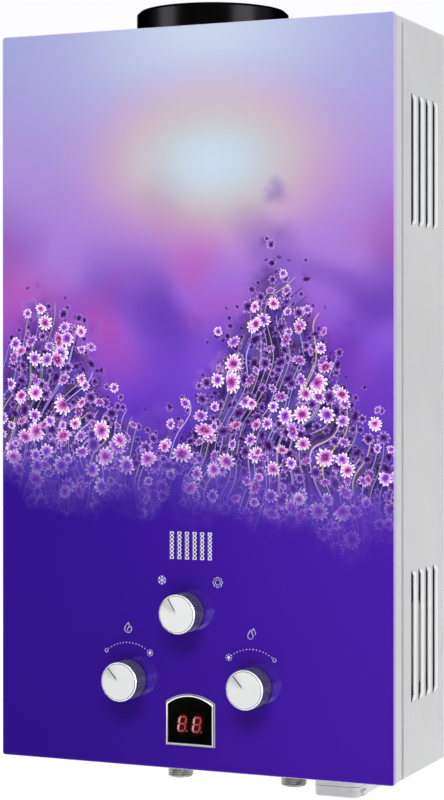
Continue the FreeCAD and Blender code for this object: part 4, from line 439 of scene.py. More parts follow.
def painted_tongue_highlight(tree, place, colour, pale):
    """A painted highlight: a colour made paler on the louvres' tongues, which lean out and catch the light.
    """
    mirrored = vector_node(tree, "ABSOLUTE", place)
    pressed = use_group(tree, within_box, Place=mirrored, **TONGUE_BOX)["Inside"]
    return mix_colour(tree, pressed, colour, (pale, pale, pale, 1))


def enamel(name, colour, low, high, peel=700.0, microns=50, soil=0.93, pale=None):
    """Sprayed or baked paint: faint orange peel, uneven gloss, slightly dulled patches."""
    material, tree, skin, place = finish_base(name, colour)
    paint = patchy(tree, place, 9.0, colour, darker(colour, soil))
    # Painted highlight: the louvres' tongues are made paler.
    if pale:
        paint = painted_tongue_highlight(tree, place, paint, pale)
    # Inside the case the paint is darkened as painted shade.
    fill(skin, {"Base Color": shaded_inside_case(tree, place, paint)})
    smudged(tree, skin, place, low, high)
    wavy(tree, skin, place, peel, 0.35, microns)
    return material


def moulded(name, colour, low, high, grain=1600.0, microns=20):
    """Moulded plastic or rubber: a fine even texture and soft handling marks."""
    material, tree, skin, place = finish_base(name, colour)
    fill(skin, {"Base Color": patchy(tree, place, 25.0, colour, darker(colour, 0.9))})
    smudged(tree, skin, place, low, high, 30.0)
    wavy(tree, skin, place, grain, 0.4, microns)
    return material


print("paint and plastic ready")

# %% [markdown]
# Sheet metal is streaked the way it was rolled, so its noise is stretched along one axis. Cast
# and forged pieces are sandy. Galvanised sheet shows its zinc crystals: a Voronoi pattern has
# flat cells with hard borders, which is what the crystals look like.

# %% Metals
STREAK_EDGES = (0.3, 0.7)
CRYSTAL_SCALE = 150.0


def sheet_metal(name, colour, low, high, stretch):
    """Rolled or brushed sheet: fine streaks in the gloss and in the surface."""
    material, tree, skin, place = finish_base(name, colour, metallic=1.0)
    streaks = use_group(tree, brushing, Place=place, Stretch=stretch)["Streaks"]
    tint = patchy(tree, place, 22.0, colour, darker(colour, 0.82))
    fill(skin, {"Base Color": tint, "Roughness": span(tree, streaks, low, high, *STREAK_EDGES)})
    raise_surface(tree, skin, streaks, 0.15, 30)
    return material


def cast_metal(name, colour, aged, low, high, grain=900.0):
    """Cast or forged metal: a sandy grain and slow changes of colour."""
    material, tree, skin, place = finish_base(name, colour, metallic=1.0)
    fill(skin, {"Base Color": patchy(tree, place, 40.0, colour, aged)})
    smudged(tree, skin, place, low, high, 50.0)
    wavy(tree, skin, place, grain, 0.5, 60)
    return material


def zinc_spangle(name, colour, low, high):
    """Hot-dip galvanised sheet: flat crystals, each with its own brightness and gloss."""
    material, tree, skin, place = finish_base(name, colour, metallic=0.9)
    crystals = shade(tree, "TexVoronoi", {"Vector": place, "Scale": CRYSTAL_SCALE, "Randomness": 1.0})
    facet = shade(tree, "SeparateColor", {"Color": crystals.outputs["Color"]}).outputs["Red"]
    crystal = mix_colour(tree, facet, (*colour, 1), (*darker(colour, 0.78), 1))
    # Inside the case the zinc is darkened too, as painted shade.
    fill(skin, {"Base Color": shaded_inside_case(tree, place, crystal), "Roughness": span(tree, facet, low, high)})
    wavy(tree, skin, place, 400.0, 0.2, 30)
    return material


print("metals ready")

# %% [markdown]
# Two pieces hold more than one colour. The dry cells have a dark sleeve with a bright band near
# one end, told apart by height. The wires are many loose solids in one part, and the Geometry
# node gives each of them its own random number, which picks the colour of its sleeve.

# %% Cells and wires
WIRE_COLOURS = (
    (0.02, 0.05, 0.24), (0.30, 0.02, 0.015), (0.03, 0.03, 0.03), (0.55, 0.53, 0.48), (0.40, 0.30, 0.02),
)


def cell_jacket(name, body, band, band_foot):
    """A dry cell's sleeve: one colour below, and a brushed band near its upper end."""
    material, tree, skin, place = finish_base(name, body)
    upper = math_node(tree, "GREATER_THAN", split(tree, place)[2], band_foot * MM)
    tint = patchy(tree, place, 30.0, body, darker(body, 0.8))
    fill(skin, {"Base Color": mix_colour(tree, upper, tint, (*band, 1)), "Metallic": upper})
    smudged(tree, skin, place, 0.2, 0.34, 50.0)
    wavy(tree, skin, place, 900.0, 0.2, 20)
    return material


def wire_sleeves(name, low, high):
    """Soft plastic sleeves: every loose wire of the bundle has one of five colours."""
    material, tree, skin, place = finish_base(name)
    wire = shade(tree, "NewGeometry").outputs["Random Per Island"]
    stops = [(index / len(WIRE_COLOURS), colour) for index, colour in enumerate(WIRE_COLOURS)]
    sleeve = ramp(tree, wire, stops, "CONSTANT")
    faded = patchy(tree, place, 40.0, (1, 1, 1), (0.8, 0.8, 0.8))
    fill(skin, {"Base Color": mix_colour(tree, 1.0, sleeve, faded, "MULTIPLY")})
    smudged(tree, skin, place, low, high, 40.0)
    wavy(tree, skin, place, 1600.0, 0.3, 20)
    return material


print("cells and wires ready")

# %% [markdown]
# The record gives every CAD part a material slot. The table below makes one finish for each
# slot from the makers above, so parts of one stock look alike and can be changed in one place.
# The finishes that need more than a line, such as the glass, follow in cells of their own. The
# collar's black is metallic with a black edge, so that the pale room leaves no haze along it.

# %% Finishes of the frame's parts
STOCK = {
    "foam_tape": (moulded, (0.03, 0.03, 0.03), 0.8, 0.95, 900.0, 100),
    # The white enamel's last number is the grey of the painted highlight on the louvres' tongues.
    "white_enamel": (enamel, (0.555, 0.555, 0.555), 0.34, 0.48, 700.0, 50, 0.93, 0.82),
    "galvanised_steel": (zinc_spangle, (0.60, 0.62, 0.64), 0.32, 0.52),
    "black_enamel": (enamel, (0.012, 0.012, 0.013), 0.21, 0.27, 900.0, 20, 0.9),
    "copper": (cast_metal, (0.78, 0.36, 0.22), (0.42, 0.20, 0.13), 0.22, 0.4, 300.0),
    "stainless_sheet": (sheet_metal, (0.62, 0.60, 0.57), 0.25, 0.45, (1, 30, 30)),
    "gas_aluminium": (cast_metal, (0.62, 0.63, 0.65), (0.5, 0.51, 0.53), 0.42, 0.6),
    "valve_brass": (cast_metal, (0.75, 0.55, 0.26), (0.55, 0.38, 0.18), 0.26, 0.42, 600.0),
    "plated_steel": (cast_metal, (0.50, 0.49, 0.47), (0.34, 0.33, 0.32), 0.22, 0.36, 500.0),
    "solenoid_steel": (sheet_metal, (0.58, 0.58, 0.55), 0.3, 0.5, (1, 20, 20)),
    "black_rubber": (moulded, (0.02, 0.02, 0.02), 0.6, 0.8),
    "bright_steel": (sheet_metal, (0.66, 0.66, 0.66), 0.2, 0.35, (20, 1, 20)),
    "switch_plastic": (moulded, (0.025, 0.025, 0.028), 0.4, 0.55),
    "igniter_plastic": (moulded, (0.62, 0.60, 0.54), 0.4, 0.55),
    "white_ceramic": (moulded, (0.80, 0.78, 0.73), 0.15, 0.3, 2500.0),
    "thermostat_metal": (sheet_metal, (0.7, 0.7, 0.7), 0.25, 0.4, (1, 1, 30)),
    "lead_sleeve": (wire_sleeves, 0.45, 0.6),
    "circuit_board": (moulded, (0.006, 0.045, 0.02), 0.3, 0.45, 400.0),
    "white_plastic": (moulded, (0.72, 0.72, 0.715), 0.25, 0.4, 1200.0),
    "cell_jacket": (cell_jacket, (0.04, 0.06, 0.14), (0.55, 0.56, 0.58), -258.0),
}
finishes = {name: maker(name, *values) for name, (maker, *values) in STOCK.items()}
stove_black = finishes["black_enamel"].node_tree.nodes["Principled BSDF"]
fill(stove_black, {"Metallic": 1.0, "Specular Tint": (0, 0, 0, 1)})
print(len(finishes), "finishes made")

# %% [markdown]
# The front is a sheet of tempered glass with a picture printed on its back: a pale evening sky
# over a meadow of daisies that sinks into deep violet where the controls are. The picture could
# be thousands of small coloured shapes, but on the real glass it is ink with no thickness, so it
# is painted by the material. All its rules work in millimetres across the sheet. First come the
# small tools: colours as they look on a screen, bell-shaped hills, and soft steps.

# %% Tools for the picture
def screen(red, green, blue):
    """A colour as seen on a screen, 0 to 255, as the shader's linear values."""
    linear = []
    for value in (red, green, blue):
        share = value / 255
        linear.append(share / 12.92 if share <= 0.04045 else ((share + 0.055) / 1.055) ** 2.4)
    return (*linear, 1.0)


def soft_step(tree, value, low, high):
    """0 below low, 1 above high, and a smooth rise between them."""
    return span(tree, value, 0.0, 1.0, low, high, interpolation_type="SMOOTHSTEP")


def soft_drop(tree, value, low, high):
    """1 below low, 0 above high, and a smooth fall between them."""
    return math_node(tree, "SUBTRACT", 1.0, soft_step(tree, value, low, high))


def bell(tree, value, centre, width):
    """1 at the centre, falling away smoothly over the width on both sides."""
    share = math_node(tree, "DIVIDE", math_node(tree, "SUBTRACT", value, centre), width)
    square = math_node(tree, "MULTIPLY", share, share)
    return math_node(tree, "EXPONENT", math_node(tree, "MULTIPLY", square, -1.0))


def sheet_place(tree, place):
    """Across and up the glass in millimetres, as one flat vector and as two numbers."""
    across, _, up = split(tree, scale_node(tree, place, 1 / MM))
    flat = shade(tree, "CombineXYZ", {"X": across, "Y": up, "Z": 0.0}).outputs["Vector"]
    return flat, across, up


print("picture tools ready")

# %% [markdown]
# The top line of the meadow is two hills and a dip. As the flowers and the stems both end at
# this line, it is a group of its own that gives the line's height at any place across.

# %% Meadow line
TALL_HILL = {"centre": 72.0, "width": 62.0}
TALL_HEIGHT = 150.0
LOW_HILL = {"centre": -128.0, "width": 60.0}
LOW_HEIGHT = 118.0
DIP_DEPTH = 18.0

meadow_line, line_in, line_out = new_group(
    "meadow_line", [("Across", "value", 0.0)], [("Height", "value")]
)
tall = math_node(meadow_line, "MULTIPLY", bell(meadow_line, line_in["Across"], **TALL_HILL), TALL_HEIGHT)
low = math_node(meadow_line, "MULTIPLY", bell(meadow_line, line_in["Across"], **LOW_HILL), LOW_HEIGHT)
both = math_node(meadow_line, "ADD", tall, low)
meadow_line.links.new(math_node(meadow_line, "SUBTRACT", both, DIP_DEPTH), line_out["Height"])
print("meadow line made")

# %% [markdown]
# Flower heads are drawn from a Voronoi pattern: every cell holds one head at its own point, and
# the distance and angle to that point draw the petals. Each cell's random colour turns its head,
# tilts it, and sets its size and sharpness. A head is kept only if its own point lies under the
# top line, so no head is cut.

# %% Flower heads
RUFFLE = (0.16, 0.16, 0.0)
UNRUFFLE = (-0.08, -0.08, 0.0)
TILT = (0.95, 1.75)
HEAD_SIZE = (0.55, 1.15)
THINNING = 50.0
HEAD_SCATTER = 0.95
RUFFLE_SCALE = 5.0
PETAL_BREADTH = 0.6
BLUR_SPREAD = 2.2
BLUR_LEAST = 0.6

flower_heads, head_in, head_out = new_group(
    "flower_heads",
    [
        ("Place", "vector", None),
        ("Spacing", "value", 20.0),
        ("Reach", "value", 0.42),
        ("Petals", "value", 15.0),
        ("Notch", "value", 0.4),
        ("Softness", "value", 0.05),
        ("Below line", "value", 0.0),
        ("Crowding", "value", 1.0),
        ("Shift", "vector", (0, 0, 0)),
    ],
    [("Mask", "value"), ("Inward", "value"), ("Random", "value"), ("Petal", "value")],
)
tree = flower_heads
spaced = scale_node(tree, head_in["Place"], math_node(tree, "DIVIDE", 1.0, head_in["Spacing"]))
shifted = vector_node(tree, "ADD", spaced, head_in["Shift"])
pattern = {"Vector": shifted, "Scale": 1.0, "Randomness": HEAD_SCATTER}
voronoi = shade(tree, "TexVoronoi", pattern, voronoi_dimensions="2D").outputs
chance = shade(tree, "SeparateColor", {"Color": voronoi["Color"]}).outputs

quick_noise = {"Vector": shifted, "Scale": RUFFLE_SCALE, "Detail": 1.0}
ruffle = shade(tree, "TexNoise", quick_noise, noise_dimensions="2D")
ruffled = vector_node(tree, "MULTIPLY_ADD", ruffle.outputs["Color"], RUFFLE, shifted)
away = vector_node(tree, "SUBTRACT", vector_node(tree, "ADD", ruffled, UNRUFFLE), voronoi["Position"])
spin = math_node(tree, "MULTIPLY", chance["Red"], math.tau)
spun = shade(tree, "VectorRotate", {"Vector": away, "Angle": spin}, rotation_type="Z_AXIS").outputs["Vector"]
side, upright, _ = split(tree, spun)
rise = math_node(tree, "MULTIPLY", upright, span(tree, chance["Blue"], *TILT))
squares = math_node(tree, "MULTIPLY_ADD", side, side, math_node(tree, "MULTIPLY", rise, rise))
distance = math_node(tree, "SQRT", squares)

angle = math_node(tree, "ARCTAN2", rise, side)
wave = math_node(tree, "COSINE", math_node(tree, "MULTIPLY", angle, head_in["Petals"]))
petal = math_node(tree, "POWER", math_node(tree, "MULTIPLY_ADD", wave, 0.5, 0.5), PETAL_BREADTH)
reach = math_node(tree, "MULTIPLY", head_in["Reach"], span(tree, chance["Green"], *HEAD_SIZE))
notch_floor = math_node(tree, "SUBTRACT", 1.0, head_in["Notch"])
lobes = math_node(tree, "MULTIPLY_ADD", petal, head_in["Notch"], notch_floor)
inside = math_node(tree, "SUBTRACT", math_node(tree, "MULTIPLY", reach, lobes), distance)
blur_share = math_node(tree, "MULTIPLY_ADD", chance["Blue"], BLUR_SPREAD, BLUR_LEAST)
blur = math_node(tree, "MULTIPLY", head_in["Softness"], blur_share)
head_mask = math_node(tree, "DIVIDE", inside, blur, clamp=True)

home = vector_node(tree, "SUBTRACT", voronoi["Position"], head_in["Shift"])
home_x, home_y, _ = split(tree, scale_node(tree, home, head_in["Spacing"]))
line = use_group(tree, meadow_line, Across=home_x)["Height"]
top = math_node(tree, "SUBTRACT", line, head_in["Below line"])
sparse = math_node(tree, "MULTIPLY", chance["Green"], THINNING)
under = math_node(tree, "SUBTRACT", math_node(tree, "SUBTRACT", top, sparse), home_y)
kept_under = math_node(tree, "GREATER_THAN", under, 0.0)
kept_chance = math_node(tree, "LESS_THAN", chance["Red"], head_in["Crowding"])
kept = math_node(tree, "MULTIPLY", kept_under, kept_chance)

tree.links.new(math_node(tree, "MULTIPLY", head_mask, kept), head_out["Mask"])
tree.links.new(math_node(tree, "DIVIDE", inside, reach, clamp=True), head_out["Inward"])
tree.links.new(chance["Blue"], head_out["Random"])
tree.links.new(petal, head_out["Petal"])
print("flower heads made,", len(tree.nodes), "nodes")

# %% [markdown]
# Stems are the same idea in one direction: thin leaning lines at random places. The place is
# sheared by the lean and bent by noise before a one-dimensional Voronoi pattern rules it, and
# each line ends at its own height under the top line.

# %% Stems
STEM_BEND = 60.0
STEM_FALL = 60.0
STEM_TIP = 6.0
BEND_SCALE = 0.012

stems, stem_in, stem_out = new_group(
    "stems",
    [
        ("Place", "vector", None),
        ("Spacing", "value", 6.0),
        ("Width", "value", 0.08),
        ("Lean", "value", 0.2),
        ("Below line", "value", 0.0),
        ("Softness", "value", 0.05),
    ],
    [("Mask", "value"), ("Random", "value")],
)
tree = stems
stem_x, stem_y, _ = split(tree, stem_in["Place"])
slow_noise = {"Vector": stem_in["Place"], "Scale": BEND_SCALE, "Detail": 1.0}
bend = shade(tree, "TexNoise", slow_noise, noise_dimensions="2D")
leaned = math_node(tree, "MULTIPLY_ADD", stem_y, stem_in["Lean"], stem_x)
bent = math_node(tree, "MULTIPLY_ADD", bend.outputs["Fac"], STEM_BEND, leaned)
ruled = math_node(tree, "DIVIDE", bent, stem_in["Spacing"])
random_rows = {"W": ruled, "Scale": 1.0, "Randomness": 1.0}
rows = shade(tree, "TexVoronoi", random_rows, voronoi_dimensions="1D").outputs
row_chance = shade(tree, "SeparateColor", {"Color": rows["Color"]}).outputs
blade = math_node(tree, "SUBTRACT", stem_in["Width"], rows["Distance"])
blade_mask = math_node(tree, "DIVIDE", blade, stem_in["Softness"], clamp=True)
stem_line = use_group(tree, meadow_line, Across=stem_x)["Height"]
stem_top = math_node(tree, "SUBTRACT", stem_line, stem_in["Below line"])
stem_end = math_node(tree, "MULTIPLY_ADD", row_chance["Red"], -STEM_FALL, stem_top)
grown = math_node(tree, "DIVIDE", math_node(tree, "SUBTRACT", stem_end, stem_y), STEM_TIP, clamp=True)
tree.links.new(math_node(tree, "MULTIPLY", blade_mask, grown), stem_out["Mask"])
tree.links.new(row_chance["Green"], stem_out["Random"])
print("stems made,", len(tree.nodes), "nodes")

# %% [markdown]
# The picture is painted from back to front, as on canvas. The sky comes first: bands of colour
# from violet to pale blue, a veil of light at the top, a ringed glow, and soft patches of rose
# and blue. Each is one mask and one colour or ramp, mixed over what is there already.

# %% Sky
SKY_SPAN = (-60.0, 325.0)
SKY_DRIFT = 60.0
DRIFT_SCALE = 0.007
SKY_BANDS = [
    (0.00, screen(50, 22, 140)), (0.16, screen(84, 46, 180)), (0.34, screen(122, 74, 200)),
    (0.52, screen(160, 112, 200)), (0.72, screen(162, 138, 204)), (1.0, screen(150, 158, 206)),
]
VEIL_MIDDLE = {"centre": 12.0, "width": 105.0}
VEIL_RISE = (150.0, 300.0)
VEIL_SHARE = 0.9
GLOW_MIDDLE = (18.0, 186.0)
GLOW_HALF = (62.0, 38.0)
GLOW_CORE = 0.4
GLOW_EDGE = 2.6
GLOW_RINGS = [
    (0.0, screen(188, 206, 222)), (0.20, screen(184, 198, 212)), (0.42, screen(196, 182, 172)),
    (0.64, screen(204, 158, 178)), (0.82, screen(186, 136, 196)), (1.0, screen(166, 128, 200)),
]
ROSE_CLOUD = {"scale": 0.012, "detail": 0.6, "roughness": 0.4, "distortion": 0.5}
ROSE = {
    "edges": (0.42, 0.74), "level": 84.0, "width": 62.0, "share": 0.6, "colour": screen(178, 60, 142),
}
BLUE_SHIFT = (300.0, 90.0, 0.0)
BLUE_CLOUD = {"scale": 0.013, "detail": 0.6, "roughness": 0.4, "distortion": 0.4}
BLUE = {
    "edges": (0.4, 0.74), "level": 60.0, "width": 78.0, "share": 0.7, "colour": screen(66, 28, 152),
}


def paint_veil(tree, sky, across, up):
    """Pale light over the upper middle of the sky."""
    middle = bell(tree, across, **VEIL_MIDDLE)
    upper = soft_step(tree, up, *VEIL_RISE)
    veil = math_node(tree, "MULTIPLY", math_node(tree, "MULTIPLY", middle, upper), VEIL_SHARE)
    return mix_colour(tree, veil, sky, screen(192, 204, 220))


def paint_glow(tree, sky, across, up):
    """Rings of pale colour round one point, on an ellipse."""
    side, rise = [
        math_node(tree, "DIVIDE", math_node(tree, "SUBTRACT", value, middle), half)
        for value, middle, half in zip((across, up), GLOW_MIDDLE, GLOW_HALF)
    ]
    squares = [math_node(tree, "MULTIPLY", value, value) for value in (side, rise)]
    ring = math_node(tree, "SQRT", math_node(tree, "ADD", *squares))
    glow = ramp(tree, math_node(tree, "DIVIDE", ring, GLOW_EDGE), GLOW_RINGS, "B_SPLINE")
    return mix_colour(tree, soft_drop(tree, ring, GLOW_CORE, GLOW_EDGE), sky, glow)


def paint_patches(tree, sky, up, cloud, edges, level, width, share, colour):
    """Soft patches of one colour where a noise is high, within a band of heights."""
    mask = math_node(tree, "MULTIPLY", soft_step(tree, cloud, *edges), bell(tree, up, level, width))
    return mix_colour(tree, math_node(tree, "MULTIPLY", mask, share), sky, colour)


def paint_sky(tree, place, across, up):
    """Pale evening sky with a ringed glow and soft patches of violet and rose."""
    height = math_node(tree, "MULTIPLY_ADD", noise(tree, place, DRIFT_SCALE, 2.0), SKY_DRIFT, up)
    sky = ramp(tree, span(tree, height, 0.0, 1.0, *SKY_SPAN), SKY_BANDS, "B_SPLINE")
    sky = paint_veil(tree, sky, across, up)
    sky = paint_glow(tree, sky, across, up)
    sky = paint_patches(tree, sky, up, noise(tree, place, **ROSE_CLOUD), **ROSE)
    elsewhere = vector_node(tree, "ADD", place, BLUE_SHIFT)
    return paint_patches(tree, sky, up, noise(tree, elsewhere, **BLUE_CLOUD), **BLUE)


print("sky ready")

# %% [markdown]
# The meadow is a stack of layers, listed from back to front: heads far out of focus, dark and
# pale stems, and sharp heads in three sizes, the front ones with a shadow round them. A row of
# the list names the painter, the ramp of colours, how much the layer covers, and the group's own
# values, with the strength of the shadow where there is one.

# %% Layers of the meadow
BLURRED = [(0.0, screen(164, 116, 204)), (0.5, screen(116, 74, 172)), (1.0, screen(80, 36, 132))]
DUSKY = [
    (0.0, screen(196, 156, 224)), (0.2, screen(112, 68, 160)),
    (0.5, screen(54, 22, 92)), (1.0, screen(32, 10, 52)),
]
BRIGHT = [
    (0.0, screen(252, 240, 255)), (0.10, screen(236, 196, 250)), (0.30, screen(168, 104, 220)),
    (0.52, screen(104, 40, 160)), (0.66, screen(84, 14, 76)), (0.80, screen(214, 140, 90)),
    (1.0, screen(244, 206, 130)),
]
ROSY = [
    (0.0, screen(255, 244, 254)), (0.12, screen(246, 196, 240)), (0.34, screen(196, 104, 204)),
    (0.58, screen(110, 26, 110)), (0.72, screen(96, 14, 60)), (0.84, screen(236, 170, 100)),
    (1.0, screen(250, 214, 140)),
]
STEM_GREEN = [
    (0.0, screen(196, 186, 130)), (0.35, screen(150, 150, 190)),
    (0.7, screen(206, 176, 236)), (1.0, screen(120, 150, 214)),
]
STEM_DARK = [(0.0, screen(50, 16, 110)), (0.5, screen(104, 78, 60)), (1.0, screen(36, 10, 90))]
SHADOW_REACH = 1.25
SHADOW_SOFTNESS = 0.22
SHADOW_COLOUR = screen(24, 6, 56)
PETAL_DEPTH = -0.22
HEAD_VARIETY = 0.16


def paint_heads(tree, under, place, colours, opacity, shadow=0.0, **settings):
    """One layer of flower heads over the picture so far, with a dark shade around each."""
    if shadow:
        wider = dict(settings, Reach=settings["Reach"] * SHADOW_REACH, Softness=SHADOW_SOFTNESS)
        shaded = use_group(tree, flower_heads, Place=place, **wider)["Mask"]
        under = mix_colour(tree, math_node(tree, "MULTIPLY", shaded, shadow), under, SHADOW_COLOUR)
    heads = use_group(tree, flower_heads, Place=place, **settings)
    depth = math_node(tree, "MULTIPLY_ADD", heads["Petal"], PETAL_DEPTH, heads["Inward"])
    varied = math_node(tree, "MULTIPLY_ADD", heads["Random"], HEAD_VARIETY, depth)
    cover = math_node(tree, "MULTIPLY", heads["Mask"], opacity)
    return mix_colour(tree, cover, under, ramp(tree, varied, colours))


def paint_stems(tree, under, place, colours, opacity, **settings):
    """One layer of leaning stems over the picture so far."""
    blades = use_group(tree, stems, Place=place, **settings)
    cover = math_node(tree, "MULTIPLY", blades["Mask"], opacity)
    return mix_colour(tree, cover, under, ramp(tree, blades["Random"], colours))


FAR_LAYERS = [
    (paint_heads, BLURRED, 0.45, {
        "Spacing": 52.0, "Reach": 0.5, "Petals": 3.0, "Notch": 0.2, "Softness": 0.3, "Below_line": -34.0,
    }),
    (paint_heads, BLURRED, 0.6, {
        "Spacing": 30.0, "Reach": 0.5, "Petals": 4.0, "Notch": 0.2, "Softness": 0.2, "Below_line": -8.0,
        "Shift": (3.3, 7.1, 0),
    }),
]
NEAR_LAYERS = [
    (paint_stems, STEM_DARK, 0.75, {
        "Spacing": 5.0, "Width": 0.3, "Lean": -0.35, "Below_line": 24.0, "Softness": 0.25,
    }),
    (paint_heads, DUSKY, 0.95, {
        "Spacing": 9.0, "Reach": 0.52, "Petals": 6.0, "Softness": 0.1, "Below_line": -2.0,
        "Shift": (1.7, 4.2, 0),
    }),
    (paint_stems, STEM_GREEN, 0.85, {
        "Spacing": 7.0, "Width": 0.08, "Lean": -0.28, "Below_line": 18.0, "Softness": 0.05,
    }),
    (paint_heads, DUSKY, 1.0, {
        "Spacing": 14.0, "Reach": 0.5, "Petals": 9.0, "Softness": 0.05, "Below_line": 2.0,
        "Shift": (2.9, 1.6, 0), "shadow": 0.4,
    }),
    (paint_heads, BRIGHT, 1.0, {
        "Spacing": 15.0, "Reach": 0.48, "Petals": 10.0, "Softness": 0.03, "Below_line": 2.0, "Crowding": 0.8,
        "Shift": (5.9, 2.6, 0), "shadow": 0.6,
    }),
    (paint_heads, ROSY, 1.0, {
        "Spacing": 19.0, "Reach": 0.44, "Petals": 12.0, "Softness": 0.025, "Below_line": 8.0, "Crowding": 0.6,
        "Shift": (8.4, 9.3, 0), "shadow": 0.6,
    }),
]
print(len(FAR_LAYERS) + len(NEAR_LAYERS), "layers listed")

# %% [markdown]
# Between the far and the near layers the ground darkens. After them, a mist and the deep violet
# foot rise from below with a ragged, slightly tilted edge. Last, the shader: the sheet's front
# carries the picture under a clear coat, and its ground edge stays pale and dull.

# %% The printed glass
GROUND_SCALE = 0.05
GROUND_DRIFT = 60.0
GROUND_EDGE = (40.0, 110.0)
GROUND_SHARE = 0.9
EARTH_SCALE = 0.04
EARTH_EDGES = (0.42, 0.62)
FOOT_TILT = 0.11
FOOT_SCALE = 0.03
FOOT_DRIFT = 70.0
FOOT_EDGE = (-70.0, -10.0)
MIST_SCALE = 0.02
MIST_EDGE = (-48.0, 6.0)
MIST_SHARE = 0.72
SHEET_HALF = 170.0
FACING_FRONT = -0.9
EDGE_PALENESS = 0.8
EDGE_DULLNESS = 0.5
CLEAR_COAT = 0.35


def paint_ground(tree, picture, flat, across, up):
    """Dark and dim patches of earth below the meadow's top line."""
    deep = math_node(tree, "SUBTRACT", use_group(tree, meadow_line, Across=across)["Height"], up)
    rough = math_node(tree, "MULTIPLY_ADD", noise(tree, flat, GROUND_SCALE, 2.0), GROUND_DRIFT, deep)
    patches = soft_step(tree, noise(tree, flat, EARTH_SCALE, 2.0), *EARTH_EDGES)
    earth = mix_colour(tree, patches, screen(26, 10, 72), screen(88, 66, 160))
    cover = math_node(tree, "MULTIPLY", soft_step(tree, rough, *GROUND_EDGE), GROUND_SHARE)
    return mix_colour(tree, cover, picture, earth)


def paint_foot(tree, picture, flat, across, up):
    """Mist, and below it the deep violet that grows lighter to the right."""
    tilted = math_node(tree, "MULTIPLY_ADD", across, FOOT_TILT, up)
    torn = noise(tree, flat, FOOT_SCALE, 3.0, 0.5, 0.5)
    ragged = math_node(tree, "MULTIPLY_ADD", torn, FOOT_DRIFT, tilted)
    mist = mix_colour(tree, noise(tree, flat, MIST_SCALE, 1.0), screen(74, 62, 176), screen(122, 84, 184))
    cover = math_node(tree, "MULTIPLY", soft_drop(tree, ragged, *MIST_EDGE), MIST_SHARE)
    picture = mix_colour(tree, cover, picture, mist)
    right = soft_step(tree, across, -SHEET_HALF, SHEET_HALF)
    violet = mix_colour(tree, right, screen(46, 15, 134), screen(66, 25, 158))
    return mix_colour(tree, soft_drop(tree, ragged, *FOOT_EDGE), picture, violet)


def printed_glass():
    """Glass with the picture on it: the sheet's front carries it, the ground edge stays pale."""
    material, tree, skin, place = finish_base("printed_glass", roughness=0.08)
    flat, across, up = sheet_place(tree, place)
    picture = paint_sky(tree, flat, across, up)
    for paint, colours, opacity, settings in FAR_LAYERS:
        picture = paint(tree, picture, flat, colours, opacity, **settings)
    picture = paint_ground(tree, picture, flat, across, up)
    for paint, colours, opacity, settings in NEAR_LAYERS:
        picture = paint(tree, picture, flat, colours, opacity, **settings)
    picture = paint_foot(tree, picture, flat, across, up)

    facing = split(tree, shade(tree, "TexCoord").outputs["Normal"])[1]
    front = math_node(tree, "LESS_THAN", facing, FACING_FRONT)
    edge = mix_colour(tree, EDGE_PALENESS, picture, screen(192, 172, 220))
    gloss = use_group(tree, handling, Place=place, Low=0.05, High=0.11, Scale=6.0)["Roughness"]
    ground_edge = math_node(tree, "SUBTRACT", 1.0, front)
    fill(skin, {
        "Base Color": mix_colour(tree, front, edge, picture),
        "Roughness": math_node(tree, "MULTIPLY_ADD", ground_edge, EDGE_DULLNESS, gloss),
        "Coat Weight": math_node(tree, "MULTIPLY", front, CLEAR_COAT),
        "Coat Roughness": 0.03,
        "IOR": 1.5,
    })
    return material


finishes["printed_glass"] = printed_glass()
print("printed glass painted,", len(finishes["printed_glass"].node_tree.nodes), "nodes")

# %% [markdown]
# The pieces below are built here and not in CAD, because they are finer than a solid needs to
# be. Each one is a mesh made point by point, gets a finish, and then rides on the body that
# carries it, so that it follows when that body moves. Edges sharper than a set angle stay
# crisp and the rest is shaded smooth, which suits turned and moulded work. Many of the meshes
# are rings of points joined by faces, so a helper does that joining.

# %% Helpers for new pieces
SHARP_ANGLE = math.radians(32)
WELD_MM = 0.0005


def new_piece(name, mesh, finish, body, slot, *nodes):
    """Turn a bmesh in millimetres into a piece that rides on a body and may stand for CAD nodes."""
    bmesh.ops.remove_doubles(mesh, verts=mesh.verts, dist=WELD_MM)
    bmesh.ops.recalc_face_normals(mesh, faces=mesh.faces)
    bmesh.ops.scale(mesh, vec=(MM, MM, MM), verts=mesh.verts)
    data = bpy.data.meshes.new(name)
    mesh.to_mesh(data)
    mesh.free()
    data.polygons.foreach_set("use_smooth", [True] * len(data.polygons))
    data.set_sharp_from_angle(angle=SHARP_ANGLE)
    data.materials.append(finish)
    piece = bpy.data.objects.new(name, data)
    bpy.context.collection.objects.link(piece)
    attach(piece, body)
    if nodes:
        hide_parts(*nodes)
    print("made", name, len(data.polygons), "faces")
    return piece


def join_rings(mesh, rings, closed=True):
    """Join each ring to the next by faces, and the last to the first where closed."""
    others = rings[1:] + (rings[:1] if closed else [])
    for near, far in zip(rings, others):
        for index in range(len(near)):
            following = (index + 1) % len(near)
            mesh.faces.new((near[index], near[following], far[following], far[index]))


print("piece helpers ready")

# %% [markdown]
# White marks surround the knobs: a row of dots that says how far a knob turns, a ring for the
# low end and a sun for the high end, a snowflake and a sun for the season, and a flame and two
# drops for gas and water. On the real glass they are screen-printed ink. They could be painted
# into the picture's material, but small marks come out crisper as a thin layer of ink with
# real edges.

# %% Ink outlines
GLASS_FACE = -126.0
INK_LAYER = 0.06
RING_POINTS = 28
CURVE_STEPS = 6


def around(centre, radius, count=RING_POINTS):
    """Points on a circle; a radius may also be a function of the angle."""
    points = []
    for index in range(count):
        angle = 2 * math.pi * index / count
        reach = radius(angle) if callable(radius) else radius
        points.append((centre[0] + reach * math.sin(angle), centre[1] + reach * math.cos(angle)))
    return points


